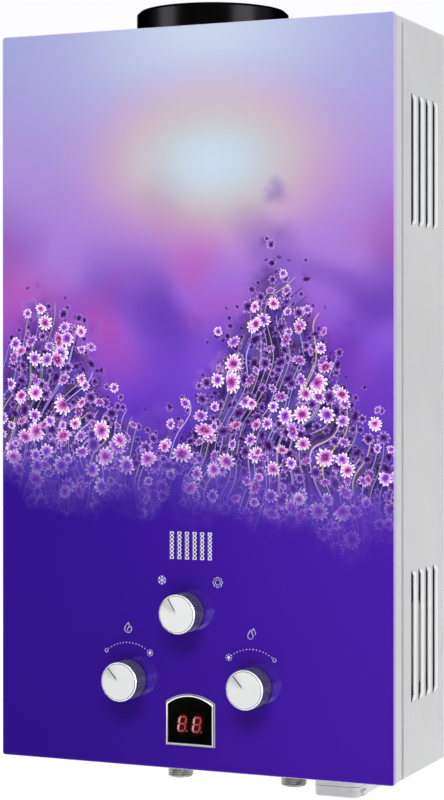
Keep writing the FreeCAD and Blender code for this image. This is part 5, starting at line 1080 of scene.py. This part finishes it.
def stroke(line, width, closed=False):
    """Four-cornered patches that follow a line of points at an even width."""
    count = len(line)
    sides = []
    for index, (x, z) in enumerate(line):
        before = line[index - 1] if closed or index else line[index]
        after = line[(index + 1) % count] if closed or index < count - 1 else line[index]
        along = Vector((after[0] - before[0], after[1] - before[1])).normalized()
        sides.append((Vector((x, z)), Vector((-along.y, along.x)) * width / 2))
    patches = []
    for index in range(count if closed else count - 1):
        (near, near_out), (far, far_out) = sides[index], sides[(index + 1) % count]
        patches.append([near - near_out, far - far_out, far + far_out, near + near_out])
    return patches


def between(a, b, c, d, t):
    """A point on the smooth curve from b to c, which heads for the neighbours a and d."""
    square = (2 * a - 5 * b + 4 * c - d) * t ** 2
    cube = (3 * b - a - 3 * c + d) * t ** 3
    return tuple(0.5 * ((2 * b) + (c - a) * t + square + cube))


def curve_through(points, closed=False):
    """A smooth line through a few points."""
    count = len(points)
    line = []
    for index in range(count if closed else count - 1):
        places = [index + k for k in (-1, 0, 1, 2)]
        places = [k % count if closed else min(max(k, 0), count - 1) for k in places]
        four = [Vector(points[k]) for k in places]
        line += [between(*four, step / CURVE_STEPS) for step in range(CURVE_STEPS)]
    return line if closed else line + [tuple(points[-1])]


def ink(name, patches):
    """One printed mark: flat patches in millimetres, raised by the thickness of the ink."""
    mesh = bmesh.new()
    for patch in patches:
        mesh.faces.new([mesh.verts.new((x, GLASS_FACE - INK_LAYER, z)) for x, z in patch])
    back = bmesh.ops.extrude_face_region(mesh, geom=list(mesh.faces))
    moved = [item for item in back["geom"] if isinstance(item, bmesh.types.BMVert)]
    bmesh.ops.translate(mesh, vec=(0, INK_LAYER, 0), verts=moved)
    return new_piece(name, mesh, finishes["mark_ink"], "heater", "printed_glass")


def mark_ink():
    """Pale lilac screen ink, a little duller than the glass round it."""
    material, tree, skin, place = finish_base("mark_ink", (0.83, 0.74, 0.97), roughness=0.2)
    fill(skin, {"Base Color": patchy(tree, place, 420.0, (0.86, 0.78, 0.99), (0.56, 0.46, 0.84))})
    smudged(tree, skin, place, 0.15, 0.3)
    return material


finishes["mark_ink"] = mark_ink()
print("ink ready")

# %% [markdown]
# Both dials share one layout, so one function draws it. The end with the sun is the strong one:
# on the right of the gas dial and on the left of the water dial, where little water runs hottest.

# %% Dials of the gas and water knobs
DIAL_RADIUS = 29.2
DIAL_END = math.radians(41.5)
DIAL_DOTS = 14
DOT_RADIUS = 0.43
DOT_POINTS = 12
WEAK_RING = 1.35
STRONG_DISC = 1.25
SUN_RAYS = 8
RAY_REACH = 2.4
RAY_RADIUS = 0.42
RAY_POINTS = 10
RING_LINE = 0.65
FLAME_LINE = 0.75
DROP_LINE = 0.7
GAS_DIAL_X = -55.0
WATER_DIAL_X = 52.2
SIDE_DIAL_Z = -226.0
FLAME_Z = -184.8
FRONT_DROP = {"aside": -0.9, "z": -185.2, "size": 2.25}
BACK_DROP = {"aside": 1.7, "z": -183.2, "size": 1.75}


def on_dial(x, angle):
    return (x + DIAL_RADIUS * math.sin(angle), SIDE_DIAL_Z + DIAL_RADIUS * math.cos(angle))


def dial(x, strong_side):
    """Dots along an arc, a ring at the weak end and a small sun at the strong end."""
    patches = []
    for index in range(1, DIAL_DOTS + 1):
        angle = -DIAL_END + 2 * DIAL_END * index / (DIAL_DOTS + 1)
        patches.append(around(on_dial(x, angle), DOT_RADIUS, DOT_POINTS))
    weak = on_dial(x, -strong_side * DIAL_END)
    strong = on_dial(x, strong_side * DIAL_END)
    patches += stroke(around(weak, WEAK_RING), RING_LINE, closed=True)
    patches.append(around(strong, STRONG_DISC))
    patches += [around(ray, RAY_RADIUS, RAY_POINTS) for ray in around(strong, RAY_REACH, SUN_RAYS)]
    return patches


def flame(x, z):
    """Outline of a flame with a curl inside."""
    outer = [
        (0.4, 4.3), (-1.5, 2.1), (-2.9, -0.2), (-2.7, -2.4), (-0.9, -3.9),
        (1.2, -3.9), (2.8, -2.3), (3.0, -0.3), (2.2, 1.3),
    ]
    inner = [(2.2, 1.3), (1.5, 0.2), (0.9, 1.6), (0.4, 4.3)]
    curl = [(0.9, 0.4), (-0.5, -0.9), (-0.6, -2.2), (0.5, -3.0)]
    lines = [curve_through(part) for part in (outer, inner, curl)]
    return [patch for line in lines for patch in stroke([(x + u, z + w) for u, w in line], FLAME_LINE)]


def drop(aside, z, size, whole=True):
    """Outline of a water drop; one that is half hidden stops at its neighbour's edge."""
    points = [
        (0, 1.5), (-0.62, 0.45), (-1.0, -0.45), (-0.72, -1.25),
        (0, -1.6), (0.72, -1.25), (1.0, -0.45), (0.62, 0.45),
    ]
    if not whole:
        points = points[:2][::-1] + points[:4:-1]
    x = WATER_DIAL_X + aside
    line = curve_through([(x + size * u, z + size * w) for u, w in points], closed=whole)
    return stroke(line, DROP_LINE, closed=whole)


ink("gas_marks", dial(GAS_DIAL_X, 1) + flame(GAS_DIAL_X, FLAME_Z))
ink("water_marks", dial(WATER_DIAL_X, -1) + drop(**FRONT_DROP) + drop(**BACK_DROP, whole=False))

# %% [markdown]
# The middle knob has only two places to point at, so it gets no arc: a snowflake on the left
# stands for winter and a sun with a wavy rim on the right for summer.

# %% Snowflake and sun
SEASON_MARK_Z = -145.6
FLAKE_X = -25.0
FLAKE_REACH = 3.4
FLAKE_HUB = 0.3
FORK_START = 0.55
FORK_END = 0.98
FORK_SIDE = 0.3
SUN_X = 23.4
SUN_RADIUS = 3.75
SUN_WAVE = 0.4
SUN_WAVES = 8
SUN_POINTS = 64
SUN_CORE = 2.1
FLAKE_LINE = 0.62
FORK_LINE = 0.55
SUN_LINE = 0.7
CORE_LINE = 0.6


def snowflake(x, z):
    """Six arms, each with a fork of two short strokes."""
    centre = Vector((x, z))
    patches = []
    for index in range(6):
        angle = index * math.pi / 3
        out = Vector((math.sin(angle), math.cos(angle)))
        aside = Vector((out.y, -out.x))
        arm = [tuple(centre + out * FLAKE_HUB), tuple(centre + out * FLAKE_REACH)]
        patches += stroke(arm, FLAKE_LINE)
        for side in (-1, 1):
            tip = centre + out * FLAKE_REACH * FORK_END + aside * side * FLAKE_REACH * FORK_SIDE
            root = centre + out * FLAKE_REACH * FORK_START
            patches += stroke([tuple(root), tuple(tip)], FORK_LINE)
    return patches


def season_sun(x, z):
    """A wavy ring round a plain one."""
    wavy_rim = around((x, z), lambda angle: SUN_RADIUS + SUN_WAVE * math.cos(SUN_WAVES * angle), SUN_POINTS)
    core = around((x, z), SUN_CORE)
    return stroke(wavy_rim, SUN_LINE, closed=True) + stroke(core, CORE_LINE, closed=True)


ink("season_marks", snowflake(FLAKE_X, SEASON_MARK_Z) + season_sun(SUN_X, SEASON_MARK_Z))

# %% [markdown]
# The display's frame is a moulded rim plated bright: a thin step against the glass, a groove,
# and a rounded bead that holds the lens. The CAD part is a plain rim, so a swept one stands for
# it. A sweep needs only the outline drawn in by a distance, and a list of (distance, depth)
# places across the rim; neighbouring outlines are then joined by faces.

# %% Rim of the display
RIM_HALF = 21.25
RIM_FOOT = -276.1
RIM_SHOULDER = 34.6
RIM_CROWN = 41.3
RIM_BACK = -120.5
ARC_STEPS = 20
STEP_DEPTH = 126.65
STEP_MARGIN = 0.08
BEAD_DEPTH = (127.2, 128.2)
RIM_SECTION = [
    (0.0, -126.0), (0.0, -126.5), (0.12, -STEP_DEPTH), (0.42, -STEP_DEPTH), (0.48, -126.3), (0.88, -126.3),
    (0.92, -127.9), (1.0, -128.3), (1.2, -128.5), (1.6, -128.5), (1.85, -128.35), (2.0, -128.0),
    (2.0, RIM_BACK), (1.0, RIM_BACK), (1.0, -126.0),
]


def rim_outline(inset):
    """The display's outline, square at the foot and arched at the head, drawn in by an inset."""
    half = RIM_HALF - inset
    low, shoulder = RIM_FOOT + inset, RIM_FOOT + RIM_SHOULDER - inset
    rise = RIM_CROWN - RIM_SHOULDER
    radius = (half ** 2 + rise ** 2) / (2 * rise)
    spread = math.asin(half / radius)
    head = []
    for index in range(ARC_STEPS + 1):
        angle = spread * (1 - 2 * index / ARC_STEPS)
        head.append((radius * math.sin(angle), shoulder + rise - radius + radius * math.cos(angle)))
    return [(-half, low), (half, low)] + head


def display_rim():
    mesh = bmesh.new()
    join_rings(mesh, [[mesh.verts.new((x, y, z)) for x, z in rim_outline(inset)] for inset, y in RIM_SECTION])
    return mesh


def bezel_plating():
    """Bright silver plating on the step and the bead, with painted shade in the groove between them."""
    material, tree, skin, place = finish_base("bezel_plating", (0.93, 0.92, 0.96), 0.45, 0.22)
    smudged(tree, skin, place, 0.16, 0.28, 90.0)
    depth = depth_node(tree, place)
    off_step = math_node(tree, "ABSOLUTE", math_node(tree, "SUBTRACT", depth, STEP_DEPTH))
    step = math_node(tree, "LESS_THAN", off_step, STEP_MARGIN)
    bright = math_node(tree, "MAXIMUM", step, soft_step(tree, depth, *BEAD_DEPTH))
    # The groove between step and bead is painted dark as painted shade.
    fill(skin, {"Base Color": mix_colour(tree, bright, (0.16, 0.14, 0.22, 1), (0.96, 0.95, 0.98, 1))})
    wavy(tree, skin, place, 500.0, 0.3, 30)
    return material


finishes["bezel_plating"] = bezel_plating()
new_piece("display_rim", display_rim(), finishes["bezel_plating"], "heater", "bright_chrome", "display_bezel")

# %% [markdown]
# The two digits are raised bars on a dark block. Bars and block are one CAD part, so the
# material tells them apart by depth: whatever stands in front of the block's face is a bar and
# glows red, with a painted highlight on its left where the light pools. Round each digit the
# block gets a faint red haze, a painted glow of the digits' light.

# %% Digits
BAR_DEPTH = 125.36
DIGIT_MIDDLE_Z = -258.9
DIGIT_LEAN = math.tan(math.radians(8.0))
DIGIT_MIDDLES = (-7.55, 5.15)
PAINTED_GLOW_SQUEEZE = 1.6
PAINTED_GLOW_EDGE = (5.5, 9.5)
PAINTED_HIGHLIGHT_EDGES = (-4.4, -1.9)
GLOW_STRENGTH = 1.5


def lit_digits():
    """Dark block and glowing bars, told apart by depth, with a painted highlight on the bars and a painted
    glow on the block.
    """
    material, tree, skin, place = finish_base("led_block", (0.004, 0.002, 0.002), roughness=0.4)
    x, y, z = split(tree, scale_node(tree, place, 1 / MM))
    bar = math_node(tree, "LESS_THAN", y, -BAR_DEPTH)
    level = math_node(tree, "SUBTRACT", z, DIGIT_MIDDLE_Z)
    upright = math_node(tree, "MULTIPLY_ADD", level, -DIGIT_LEAN, x)
    glows, pools = [], []
    for middle in DIGIT_MIDDLES:
        aside = math_node(tree, "SUBTRACT", upright, middle)
        squeezed = math_node(tree, "MULTIPLY", aside, PAINTED_GLOW_SQUEEZE)
        reach = shade(tree, "CombineXYZ", {"X": squeezed, "Y": level}).outputs["Vector"]
        glows.append(soft_drop(tree, length_node(tree, reach), *PAINTED_GLOW_EDGE))
        # Painted highlight on the left part of each digit.
        past = math_node(tree, "GREATER_THAN", aside, PAINTED_HIGHLIGHT_EDGES[0])
        pools.append(math_node(tree, "MULTIPLY", math_node(tree, "LESS_THAN", aside, PAINTED_HIGHLIGHT_EDGES[1]), past))
    haze = math_node(tree, "MAXIMUM", *glows)
    pool = math_node(tree, "MAXIMUM", *pools)
    red = mix_colour(tree, noise(tree, place, 900.0, 2.0), (0.34, 0.05, 0.06, 1), (0.80, 0.22, 0.22, 1))
    lit = mix_colour(tree, pool, red, (1.0, 0.86, 0.84, 1))
    # Painted glow: the dark block itself glows faintly red round each digit.
    dim = mix_colour(tree, haze, (0.0, 0.0, 0.0, 1), (0.16, 0.0, 0.003, 1))
    fill(skin, {"Emission Color": mix_colour(tree, bar, dim, lit), "Emission Strength": GLOW_STRENGTH})
    return material


finishes["led_block"] = lit_digits()
print("digits lit")

# %% [markdown]
# A knob's side is plated and finely toothed. The front edge of each tooth gets a painted
# highlight, which makes the scalloped rim round the face. The flank is darker and rougher, and its
# dark violet is a painted reflection of the violet glass. The face itself is a spun disc with
# circular tool marks; one faint dark sector on it is a painted reflection of the light on spun
# metal, and the pointer is a line cut into it and filled with dark paint. The bright edge and the
# pointer are told apart from the rest by depth along the knob's axis.

# %% Knob finishes
KNOB_MIDDLES = {"gas": (-54.0, -226.0), "season": (-3.5, -170.0), "water": (54.0, -226.0)}
HIGHLIGHT_DEPTH = (144.7, 145.1)
FACE_DEPTH = 145.62
CUT_REACH = 14.4
CAP_SEAM = 14.15
PAINTED_SECTOR_TURN = math.radians(-48)
PAINTED_SECTOR_WIDTH = math.radians(20)


def knob_plating():
    """Dark toothed flank painted as a reflection of the violet glass, and a front edge with a painted
    highlight.
    """
    material, tree, skin, place = finish_base("bright_chrome", metallic=0.65, roughness=0.25)
    # Painted highlight on the front edge; the flank's dark violet is a painted reflection of the glass.
    front = soft_step(tree, depth_node(tree, place), *HIGHLIGHT_DEPTH)
    tint = patchy(tree, place, 60.0, (0.22, 0.21, 0.28), (0.17, 0.16, 0.22))
    fill(skin, {
        "Base Color": mix_colour(tree, front, tint, (0.97, 0.96, 1.0, 1)),
        "Roughness": span(tree, noise(tree, place, 300.0, 3.0), 0.2, 0.36),
    })
    wavy(tree, skin, place, 1500.0, 0.2, 20)
    return material


def knob_face(name, middle):
    """Spun disc with circular tool marks, a painted dark sector standing in for reflected light, and a dark
    pointer line.
    """
    material, tree, skin, place = finish_base(name, roughness=0.35)
    at = vector_node(tree, "SUBTRACT", place, (middle[0] * MM, 0.0, middle[1] * MM))
    x, y, z = split(tree, at)
    radius = length_node(tree, vector_node(tree, "MULTIPLY", at, (1, 0, 1)))
    # Painted reflection: one dark sector, as spun metal shows under light.
    sector = bell(tree, math_node(tree, "ARCTAN2", x, z), PAINTED_SECTOR_TURN, PAINTED_SECTOR_WIDTH)
    rings = noise(tree, shade(tree, "CombineXYZ", {"X": radius}).outputs["Vector"], 2600.0, 2.0, 0.6)
    spun = mix_colour(tree, rings, (0.67, 0.68, 0.67, 1), (0.75, 0.76, 0.745, 1))
    spun = mix_colour(tree, math_node(tree, "MULTIPLY", sector, 0.7), spun, (0.43, 0.45, 0.44, 1))
    seam = math_node(tree, "GREATER_THAN", radius, CAP_SEAM * MM)
    spun = mix_colour(tree, seam, spun, (0.22, 0.22, 0.24, 1))
    cut = math_node(tree, "GREATER_THAN", y, -FACE_DEPTH * MM)
    pointer = math_node(tree, "MULTIPLY", cut, math_node(tree, "LESS_THAN", radius, CUT_REACH * MM))
    fill(skin, {"Base Color": mix_colour(tree, pointer, spun, (0.06, 0.07, 0.07, 1))})
    smudged(tree, skin, place, 0.28, 0.42, 60.0)
    raise_surface(tree, skin, rings, 0.25, 20)
    return material


finishes["bright_chrome"] = knob_plating()
for control, middle in KNOB_MIDDLES.items():
    finishes[control + "_face"] = knob_face(control + "_face", middle)
print("control finishes made")

# %% [markdown]
# Three pipe stubs come out of the floor of the case. A real one is turned and threaded, with a
# relief groove above the thread, a flange, and a hexagon for the wrench. It is made here like
# on a lathe: a list of heights with a radius for each, turned round the axis. The radius may
# change round the turn, which gives the hexagon, and along the height as well, which gives a
# thread that really winds. The thread's crests keep the size of the CAD pin.

# %% Threaded pipe stubs
STUBS = {
    "gas_inlet_stub": (-31.5, -76.0),
    "cold_inlet_stub": (68.0, -76.0),
    "hot_outlet_stub": (-110.0, -36.0),
}
STUB_TURN = 72
STUB_BOTTOM = -310.5
THREAD_TOP = -296.4
THREAD_PITCH = 1.81
THREAD_CREST = 10.48
THREAD_ROOT = 9.45
THREAD_ENTRY = THREAD_ROOT - 0.3
THREAD_STEEPNESS = 1.5
THREAD_FLAT = 0.25
ENTRY_SLOPE = 1.2
THREAD_ROWS_PER_TURN = 6
RELIEF_FOOT = -296.2
RELIEF = 9.6
BASE_FACE = -292.9
FLANGE = 14.0
FLANGE_SIDE_TOP = -290.3
FLANGE_LIP = 13.5
HEX_FOOT = -289.9
HEX_FULL = (-289.3, -280.5)
HEX_HEAD = -279.9
HEX_APOTHEM = 11.0
HEX_CHAMFER = 11.4
HEX_CORNER = 12.5
NECK = 9.5
BORE = 5.5
MOUTH_BEVEL = 0.5


def thread_radius(angle, z):
    """A wound V with flattened crest and root, which starts small at the mouth."""
    phase = ((z - STUB_BOTTOM) / THREAD_PITCH - angle / (2 * math.pi)) % 1.0
    height = min(max(abs(2 * phase - 1) * THREAD_STEEPNESS - THREAD_FLAT, 0.0), 1.0)
    entry = THREAD_ENTRY + (z - STUB_BOTTOM) * ENTRY_SLOPE
    return min(THREAD_ROOT + (THREAD_CREST - THREAD_ROOT) * height, max(entry, THREAD_ENTRY))


def hex_radius(limit):
    """A hexagon whose corners are turned down to a limit."""
    return lambda angle, z: min(HEX_APOTHEM / math.cos(angle % (math.pi / 3) - math.pi / 6), limit)


def turned(rows, segments, place):
    """Turn (height, radius) rows round an upright axis and close the last row to the first."""
    mesh = bmesh.new()
    rings = []
    for z, radius in rows:
        ring = []
        for index in range(segments):
            angle = 2 * math.pi * index / segments
            reach = radius(angle, z) if callable(radius) else radius
            x, y = place[0] + reach * math.cos(angle), place[1] + reach * math.sin(angle)
            ring.append(mesh.verts.new((x, y, z)))
        rings.append(ring)
    join_rings(mesh, rings)
    return mesh


def stub_rows(top):
    """Thread, relief, flange, hexagon, neck, and the bore back down to the mouth."""
    count = int((THREAD_TOP - STUB_BOTTOM) / THREAD_PITCH * THREAD_ROWS_PER_TURN)
    step = (THREAD_TOP - STUB_BOTTOM) / count
    rows = [(STUB_BOTTOM + step * index, thread_radius) for index in range(count + 1)]
    rows += [(RELIEF_FOOT, RELIEF), (BASE_FACE, RELIEF)]
    rows += [(BASE_FACE, FLANGE), (FLANGE_SIDE_TOP, FLANGE), (HEX_FOOT, FLANGE_LIP)]
    rows += [(HEX_FOOT, hex_radius(HEX_CHAMFER)), (HEX_FULL[0], hex_radius(HEX_CORNER))]
    rows += [(HEX_FULL[1], hex_radius(HEX_CORNER)), (HEX_HEAD, hex_radius(HEX_CHAMFER))]
    rows += [(HEX_HEAD, NECK), (top, NECK), (top, BORE)]
    return rows + [(STUB_BOTTOM + MOUTH_BEVEL, BORE), (STUB_BOTTOM, BORE + MOUTH_BEVEL)]


for node, place in STUBS.items():
    stub_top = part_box(node)[1][2] / MM
    stub = turned(stub_rows(stub_top), STUB_TURN, place)
    new_piece(node + "_threaded", stub, finishes["plated_steel"], "heater", "plated_steel", node)

# %% [markdown]
# The case is held by pan-head screws. Their heads are domed and have a cross recess. The head is
# turned like the stubs, and points that lie within the cross are sunk below the dome. One screw
# is made here, standing on its seat; the next step turns it onto every place.

# %% One screw
HEAD_RADIUS = 3.6
HEAD_HEIGHT = 1.8
HEAD_RIM = 0.3
HEAD_DOME = 0.9
HEAD_BEVEL = 0.1
DOME_RADII = (0.2, 0.44, 0.46, 0.9, 1.4, 1.9, 2.05, 2.6, 3.1, 3.45)
SHANK_RADIUS = 1.6
SHANK_POINT = 0.6
POINT_RADIUS = 0.7
RECESS_REACH = 2.0
RECESS_WIDTH = 0.45
RECESS_DEPTH = 1.1
RECESS_RISE = 0.45
HEAD_TURN = 48


def cross_recess(angle, radius):
    """How deep the cross is at a point of the head."""
    x, y = abs(radius * math.cos(angle)), abs(radius * math.sin(angle))
    arm = min(x, y) < RECESS_WIDTH and max(x, y) < RECESS_REACH
    return RECESS_DEPTH * (1 - RECESS_RISE * max(x, y) / RECESS_REACH) if arm else 0.0


def pan_screw(length):
    """A domed head with its seat at zero, a cross recess, and a plain shank below."""
    dome = [(HEAD_HEIGHT * math.sqrt(1 - HEAD_DOME * (r / HEAD_RADIUS) ** 2), r) for r in DOME_RADII]
    seat = [(HEAD_RIM, HEAD_RADIUS), (0.0, HEAD_RADIUS - HEAD_BEVEL), (0.0, SHANK_RADIUS)]
    shank = [(SHANK_POINT - length, SHANK_RADIUS), (-length, POINT_RADIUS)]
    mesh = bmesh.new()
    rings = []
    for height, radius in dome + seat + shank:
        ring = []
        for index in range(HEAD_TURN):
            angle = 2 * math.pi * index / HEAD_TURN
            sunk = cross_recess(angle, radius) if height > HEAD_RIM else 0.0
            ring.append(mesh.verts.new((radius * math.cos(angle), radius * math.sin(angle), height - sunk)))
        rings.append(ring)
    join_rings(mesh, rings, closed=False)
    mesh.faces.new(rings[0])
    mesh.faces.new(rings[-1][::-1])
    return mesh


print("screw head", 2 * HEAD_RADIUS, "mm wide")

# %% [markdown]
# The places come from the CAD part itself. Its points are gathered into islands that share
# edges, and each island is one screw. The side of its box whose length differs most from a
# head's width is the screw's axis, and the end where points lie wide of that axis is the head.

# %% Screws in their places
WELD_METRES = 1e-6
WIDE_OF_SHANK = 1.0


def loose_solids(node):
    """The lowest corner, the highest corner and the points of each loose solid, in millimetres."""
    mesh = bmesh.new()
    mesh.from_mesh(frame["nodes"][node].data)
    bmesh.ops.remove_doubles(mesh, verts=mesh.verts, dist=WELD_METRES)
    solids, seen = [], set()
    for start in mesh.verts:
        if start in seen:
            continue
        island, queue = [], [start]
        seen.add(start)
        while queue:
            vert = queue.pop()
            island.append(vert.co / MM)
            for edge in vert.link_edges:
                other = edge.other_vert(vert)
                if other not in seen:
                    seen.add(other)
                    queue.append(other)
        low, high = (Vector([pick(co[axis] for co in island) for axis in range(3)]) for pick in (min, max))
        solids.append((low, high, island))
    mesh.free()
    return solids


def screw_seat(low, high, island):
    """Where a screw's head sits, which way it points, and how long its shank is."""
    spans = [high[axis] - low[axis] for axis in range(3)]
    axis = max(range(3), key=lambda k: abs(spans[k] - 2 * HEAD_RADIUS))
    centre = (low + high) / 2
    others = [k for k in range(3) if k != axis]
    reach = SHANK_RADIUS + WIDE_OF_SHANK
    wide = [co[axis] for co in island if math.hypot(*(co[k] - centre[k] for k in others)) > reach]
    way = 1 if sum(wide) / len(wide) > centre[axis] else -1
    seat = Vector(centre)
    seat[axis] = (high if way > 0 else low)[axis] - way * HEAD_HEIGHT
    return seat, Vector([way if k == axis else 0 for k in range(3)]), spans[axis] - HEAD_HEIGHT


screws = bmesh.new()
for low, high, island in loose_solids("casing_screws"):
    seat, normal, length = screw_seat(low, high, island)
    one = pan_screw(length)
    turn = normal.to_track_quat("Z", "Y").to_matrix().to_4x4()
    bmesh.ops.transform(one, matrix=Matrix.Translation(seat) @ turn, verts=one.verts)
    lump = bpy.data.meshes.new("screw")
    one.to_mesh(lump)
    screws.from_mesh(lump)
    one.free()
    bpy.data.meshes.remove(lump)
new_piece("cross_screws", screws, finishes["bright_steel"], "heater", "bright_steel", "casing_screws")

# %% [markdown]
# The push rod's return spring shortens when the rod slides. A rigid part can't do that. A piece
# of the same size stands for the CAD part: a wire swept along a helix, which rides on the
# heater with a mesh of its own.

# %% Return spring of the push rod
SPRING_WIRE = 0.5
SPRING_TURNS = 7
WIRE_SIDES = 10
STEPS_PER_TURN = 36


def coil_spring(low, high):
    """Round wire on a helix along X that fills the space between two corners."""
    mesh = bmesh.new()
    middle = (low + high) / 2
    radius = (high.z - low.z) / 2 - SPRING_WIRE
    start, length = low.x + SPRING_WIRE, high.x - low.x - 2 * SPRING_WIRE
    steps = SPRING_TURNS * STEPS_PER_TURN
    along = Vector((1, 0, 0))
    rings = []
    for index in range(steps + 1):
        turn = 2 * math.pi * index / STEPS_PER_TURN
        out = Vector((0, math.sin(turn), math.cos(turn)))
        place = Vector((start + length * index / steps, middle.y, middle.z)) + out * radius
        ring = []
        for side in range(WIRE_SIDES):
            roll = 2 * math.pi * side / WIRE_SIDES
            ring.append(mesh.verts.new(place + (out * math.cos(roll) + along * math.sin(roll)) * SPRING_WIRE))
        rings.append(ring)
    join_rings(mesh, rings, closed=False)
    mesh.faces.new(rings[0][::-1])
    mesh.faces.new(rings[-1])
    return mesh


spring_low, spring_high = (Vector(corner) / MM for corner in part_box("rod_spring"))
coil = coil_spring(spring_low, spring_high)
spring = new_piece("return_spring", coil, finishes["bright_steel"], "heater", "bright_steel", "rod_spring")
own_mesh(spring)

# %% [markdown]
# Behind the glass of the sight window sits a sheet pressed into six ridges that stand in the
# slots. Each ridge has a column of holes, and its folds run through the next columns, which
# leaves notches along both sides. The CAD part is the flat sheet. A hole in a sheet needs no
# cutting: a cell is a rectangle whose edge points are pulled onto a circle, and faces join the
# two outlines, front and back. Cells are set one above the other, like bricks.

# %% One ridge of the perforated sheet
RIDGE_HALF = 1.7
RIDGE_HEIGHT = 21.8
RIDGE_FRONT = -125.7
RIDGE_SKIN = 0.3
RIDGE_CELLS = 7
RIDGE_HOLE = 0.85
COLUMN_HALF = 1.0
NOTCH_HALF = 0.75
CELL_SEAM = 0.002
HOLE_STEPS = 4


def outline(x, z, steps=1):
    """Points round a rectangle, with a number of steps on each side."""
    corners = [(x[0], z[0]), (x[1], z[0]), (x[1], z[1]), (x[0], z[1])]
    points = []
    for (ax, az), (bx, bz) in zip(corners, corners[1:] + corners[:1]):
        points += [(ax + (bx - ax) * k / steps, az + (bz - az) * k / steps) for k in range(steps)]
    return points


def sheet_block(mesh, x, y, z):
    """A plain block between pairs of limits."""
    front, back = [[mesh.verts.new((px, depth, pz)) for px, pz in outline(x, z)] for depth in y]
    mesh.faces.new(front)
    mesh.faces.new(back[::-1])
    for index in range(4):
        following = (index + 1) % 4
        mesh.faces.new((front[index], back[index], back[following], front[following]))


def holed_cell(mesh, x, y, z, radius):
    """A block with a round hole through its middle."""
    x, z = [(pair[0] + CELL_SEAM / 2, pair[1] - CELL_SEAM / 2) for pair in (x, z)]
    middle = (sum(x) / 2, sum(z) / 2)
    edge = outline(x, z, HOLE_STEPS)
    hole = []
    for px, pz in edge:
        share = radius / math.hypot(px - middle[0], pz - middle[1])
        hole.append((middle[0] + (px - middle[0]) * share, middle[1] + (pz - middle[1]) * share))
    loops = []
    for line, depth in ((edge, y[0]), (hole, y[0]), (hole, y[1]), (edge, y[1])):
        loops.append([mesh.verts.new((px, depth, pz)) for px, pz in line])
    join_rings(mesh, loops)


def ridge(mesh, x, middle_z, sheet_y):
    """One ridge: a column of holes in front, notches along both sides, and walls to the sheet."""
    low, high = middle_z - RIDGE_HEIGHT / 2, middle_z + RIDGE_HEIGHT / 2
    left, right = x - RIDGE_HALF, x + RIDGE_HALF
    pitch = RIDGE_HEIGHT / RIDGE_CELLS
    skin = (RIDGE_FRONT, RIDGE_FRONT + RIDGE_SKIN)
    for cell in range(RIDGE_CELLS):
        foot = low + cell * pitch
        below = NOTCH_HALF if cell else 0.0
        above = NOTCH_HALF if cell < RIDGE_CELLS - 1 else 0.0
        ends = (foot + below, foot + pitch - above)
        holed_cell(mesh, (x - COLUMN_HALF, x + COLUMN_HALF), skin, (foot, foot + pitch), RIDGE_HOLE)
        sheet_block(mesh, (left, x - COLUMN_HALF), skin, ends)
        sheet_block(mesh, (x + COLUMN_HALF, right), skin, ends)
    walls = (skin[1], sheet_y)
    sheet_block(mesh, (left, left + RIDGE_SKIN), walls, (low, high))
    sheet_block(mesh, (right - RIDGE_SKIN, right), walls, (low, high))
    sheet_block(mesh, (left, right), walls, (low, low + RIDGE_SKIN))
    sheet_block(mesh, (left, right), walls, (high - RIDGE_SKIN, high))


print("ridge", RIDGE_HEIGHT, "mm high with", RIDGE_CELLS, "holes")

# %% [markdown]
# The six ridges are set side by side on the full flat sheet. Its outer faces are bare zinc. What
# lies behind them is painted black as painted shade, so the holes look dark against the metal round them.

# %% Perforated sheet with six ridges
SLOT_PITCH = 6.6
SLOT_COUNT = 6


def ridged_sheet(low, high):
    """The flat sheet between two corners with its ridges in front."""
    mesh = bmesh.new()
    sheet_block(mesh, (low.x, high.x), (low.y, high.y), (low.z, high.z))
    for index in range(SLOT_COUNT):
        ridge(mesh, (index - (SLOT_COUNT - 1) / 2) * SLOT_PITCH, (low.z + high.z) / 2, low.y)
    return mesh


def pressed_mesh():
    """Bare zinc on the faces that look out, painted shade behind them."""
    material, tree, skin, place = finish_base("mesh_steel", (0.70, 0.66, 0.84), roughness=0.45)
    outer = math_node(tree, "GREATER_THAN", depth_node(tree, place), -RIDGE_FRONT - RIDGE_SKIN / 2)
    zinc = patchy(tree, place, 300.0, (0.74, 0.70, 0.88), (0.58, 0.54, 0.76))
    # Everything behind the outer faces is painted near black as painted shade.
    fill(skin, {"Base Color": mix_colour(tree, outer, (0.012, 0.008, 0.035, 1), zinc)})
    smudged(tree, skin, place, 0.4, 0.55, 80.0)
    wavy(tree, skin, place, 1400.0, 0.2, 20)
    return material


finishes["mesh_steel"] = pressed_mesh()
mesh_low, mesh_high = (Vector(corner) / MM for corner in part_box("sight_mesh"))
ridges = ridged_sheet(mesh_low, mesh_high)
new_piece("sight_mesh_ridged", ridges, finishes["mesh_steel"], "heater", "mesh_steel", "sight_mesh")

# %% [markdown]
# The lens of the display is smoked plastic in front of the digits. It is real see-through
# material with a dark tint, so the digits behind it lose some light and its face still shines.

# %% Smoked lens
def smoked_lens():
    """Dark clear plastic in front of the digits."""
    material, tree, skin, place = finish_base("smoked_lens", (0.36, 0.30, 0.31), roughness=0.05)
    fill(skin, {"Transmission Weight": 1.0, "IOR": 1.3})
    smudged(tree, skin, place, 0.02, 0.09, 60.0)
    return material


finishes["smoked_lens"] = smoked_lens()
print("lens made")

# %% [markdown]
# Every CAD part now gets its finish through the slot that its record names. The three knob
# faces share a slot, but each needs its own middle for the spun rings, so they are listed.

# %% Give every CAD part its finish
OWN_FINISH = {control + "_knob_cap": finishes[control + "_face"] for control in KNOB_MIDDLES}


def wear(part, finish):
    """Put one finish on every slot of a part."""
    if not part.material_slots:
        part.data.materials.append(finish)
    for slot in part.material_slots:
        slot.material = finish


for entry in frame["record"]["subparts"]:
    wear(frame["nodes"][entry["node"]], OWN_FINISH.get(entry["node"]) or finishes[entry["material_slot"]])
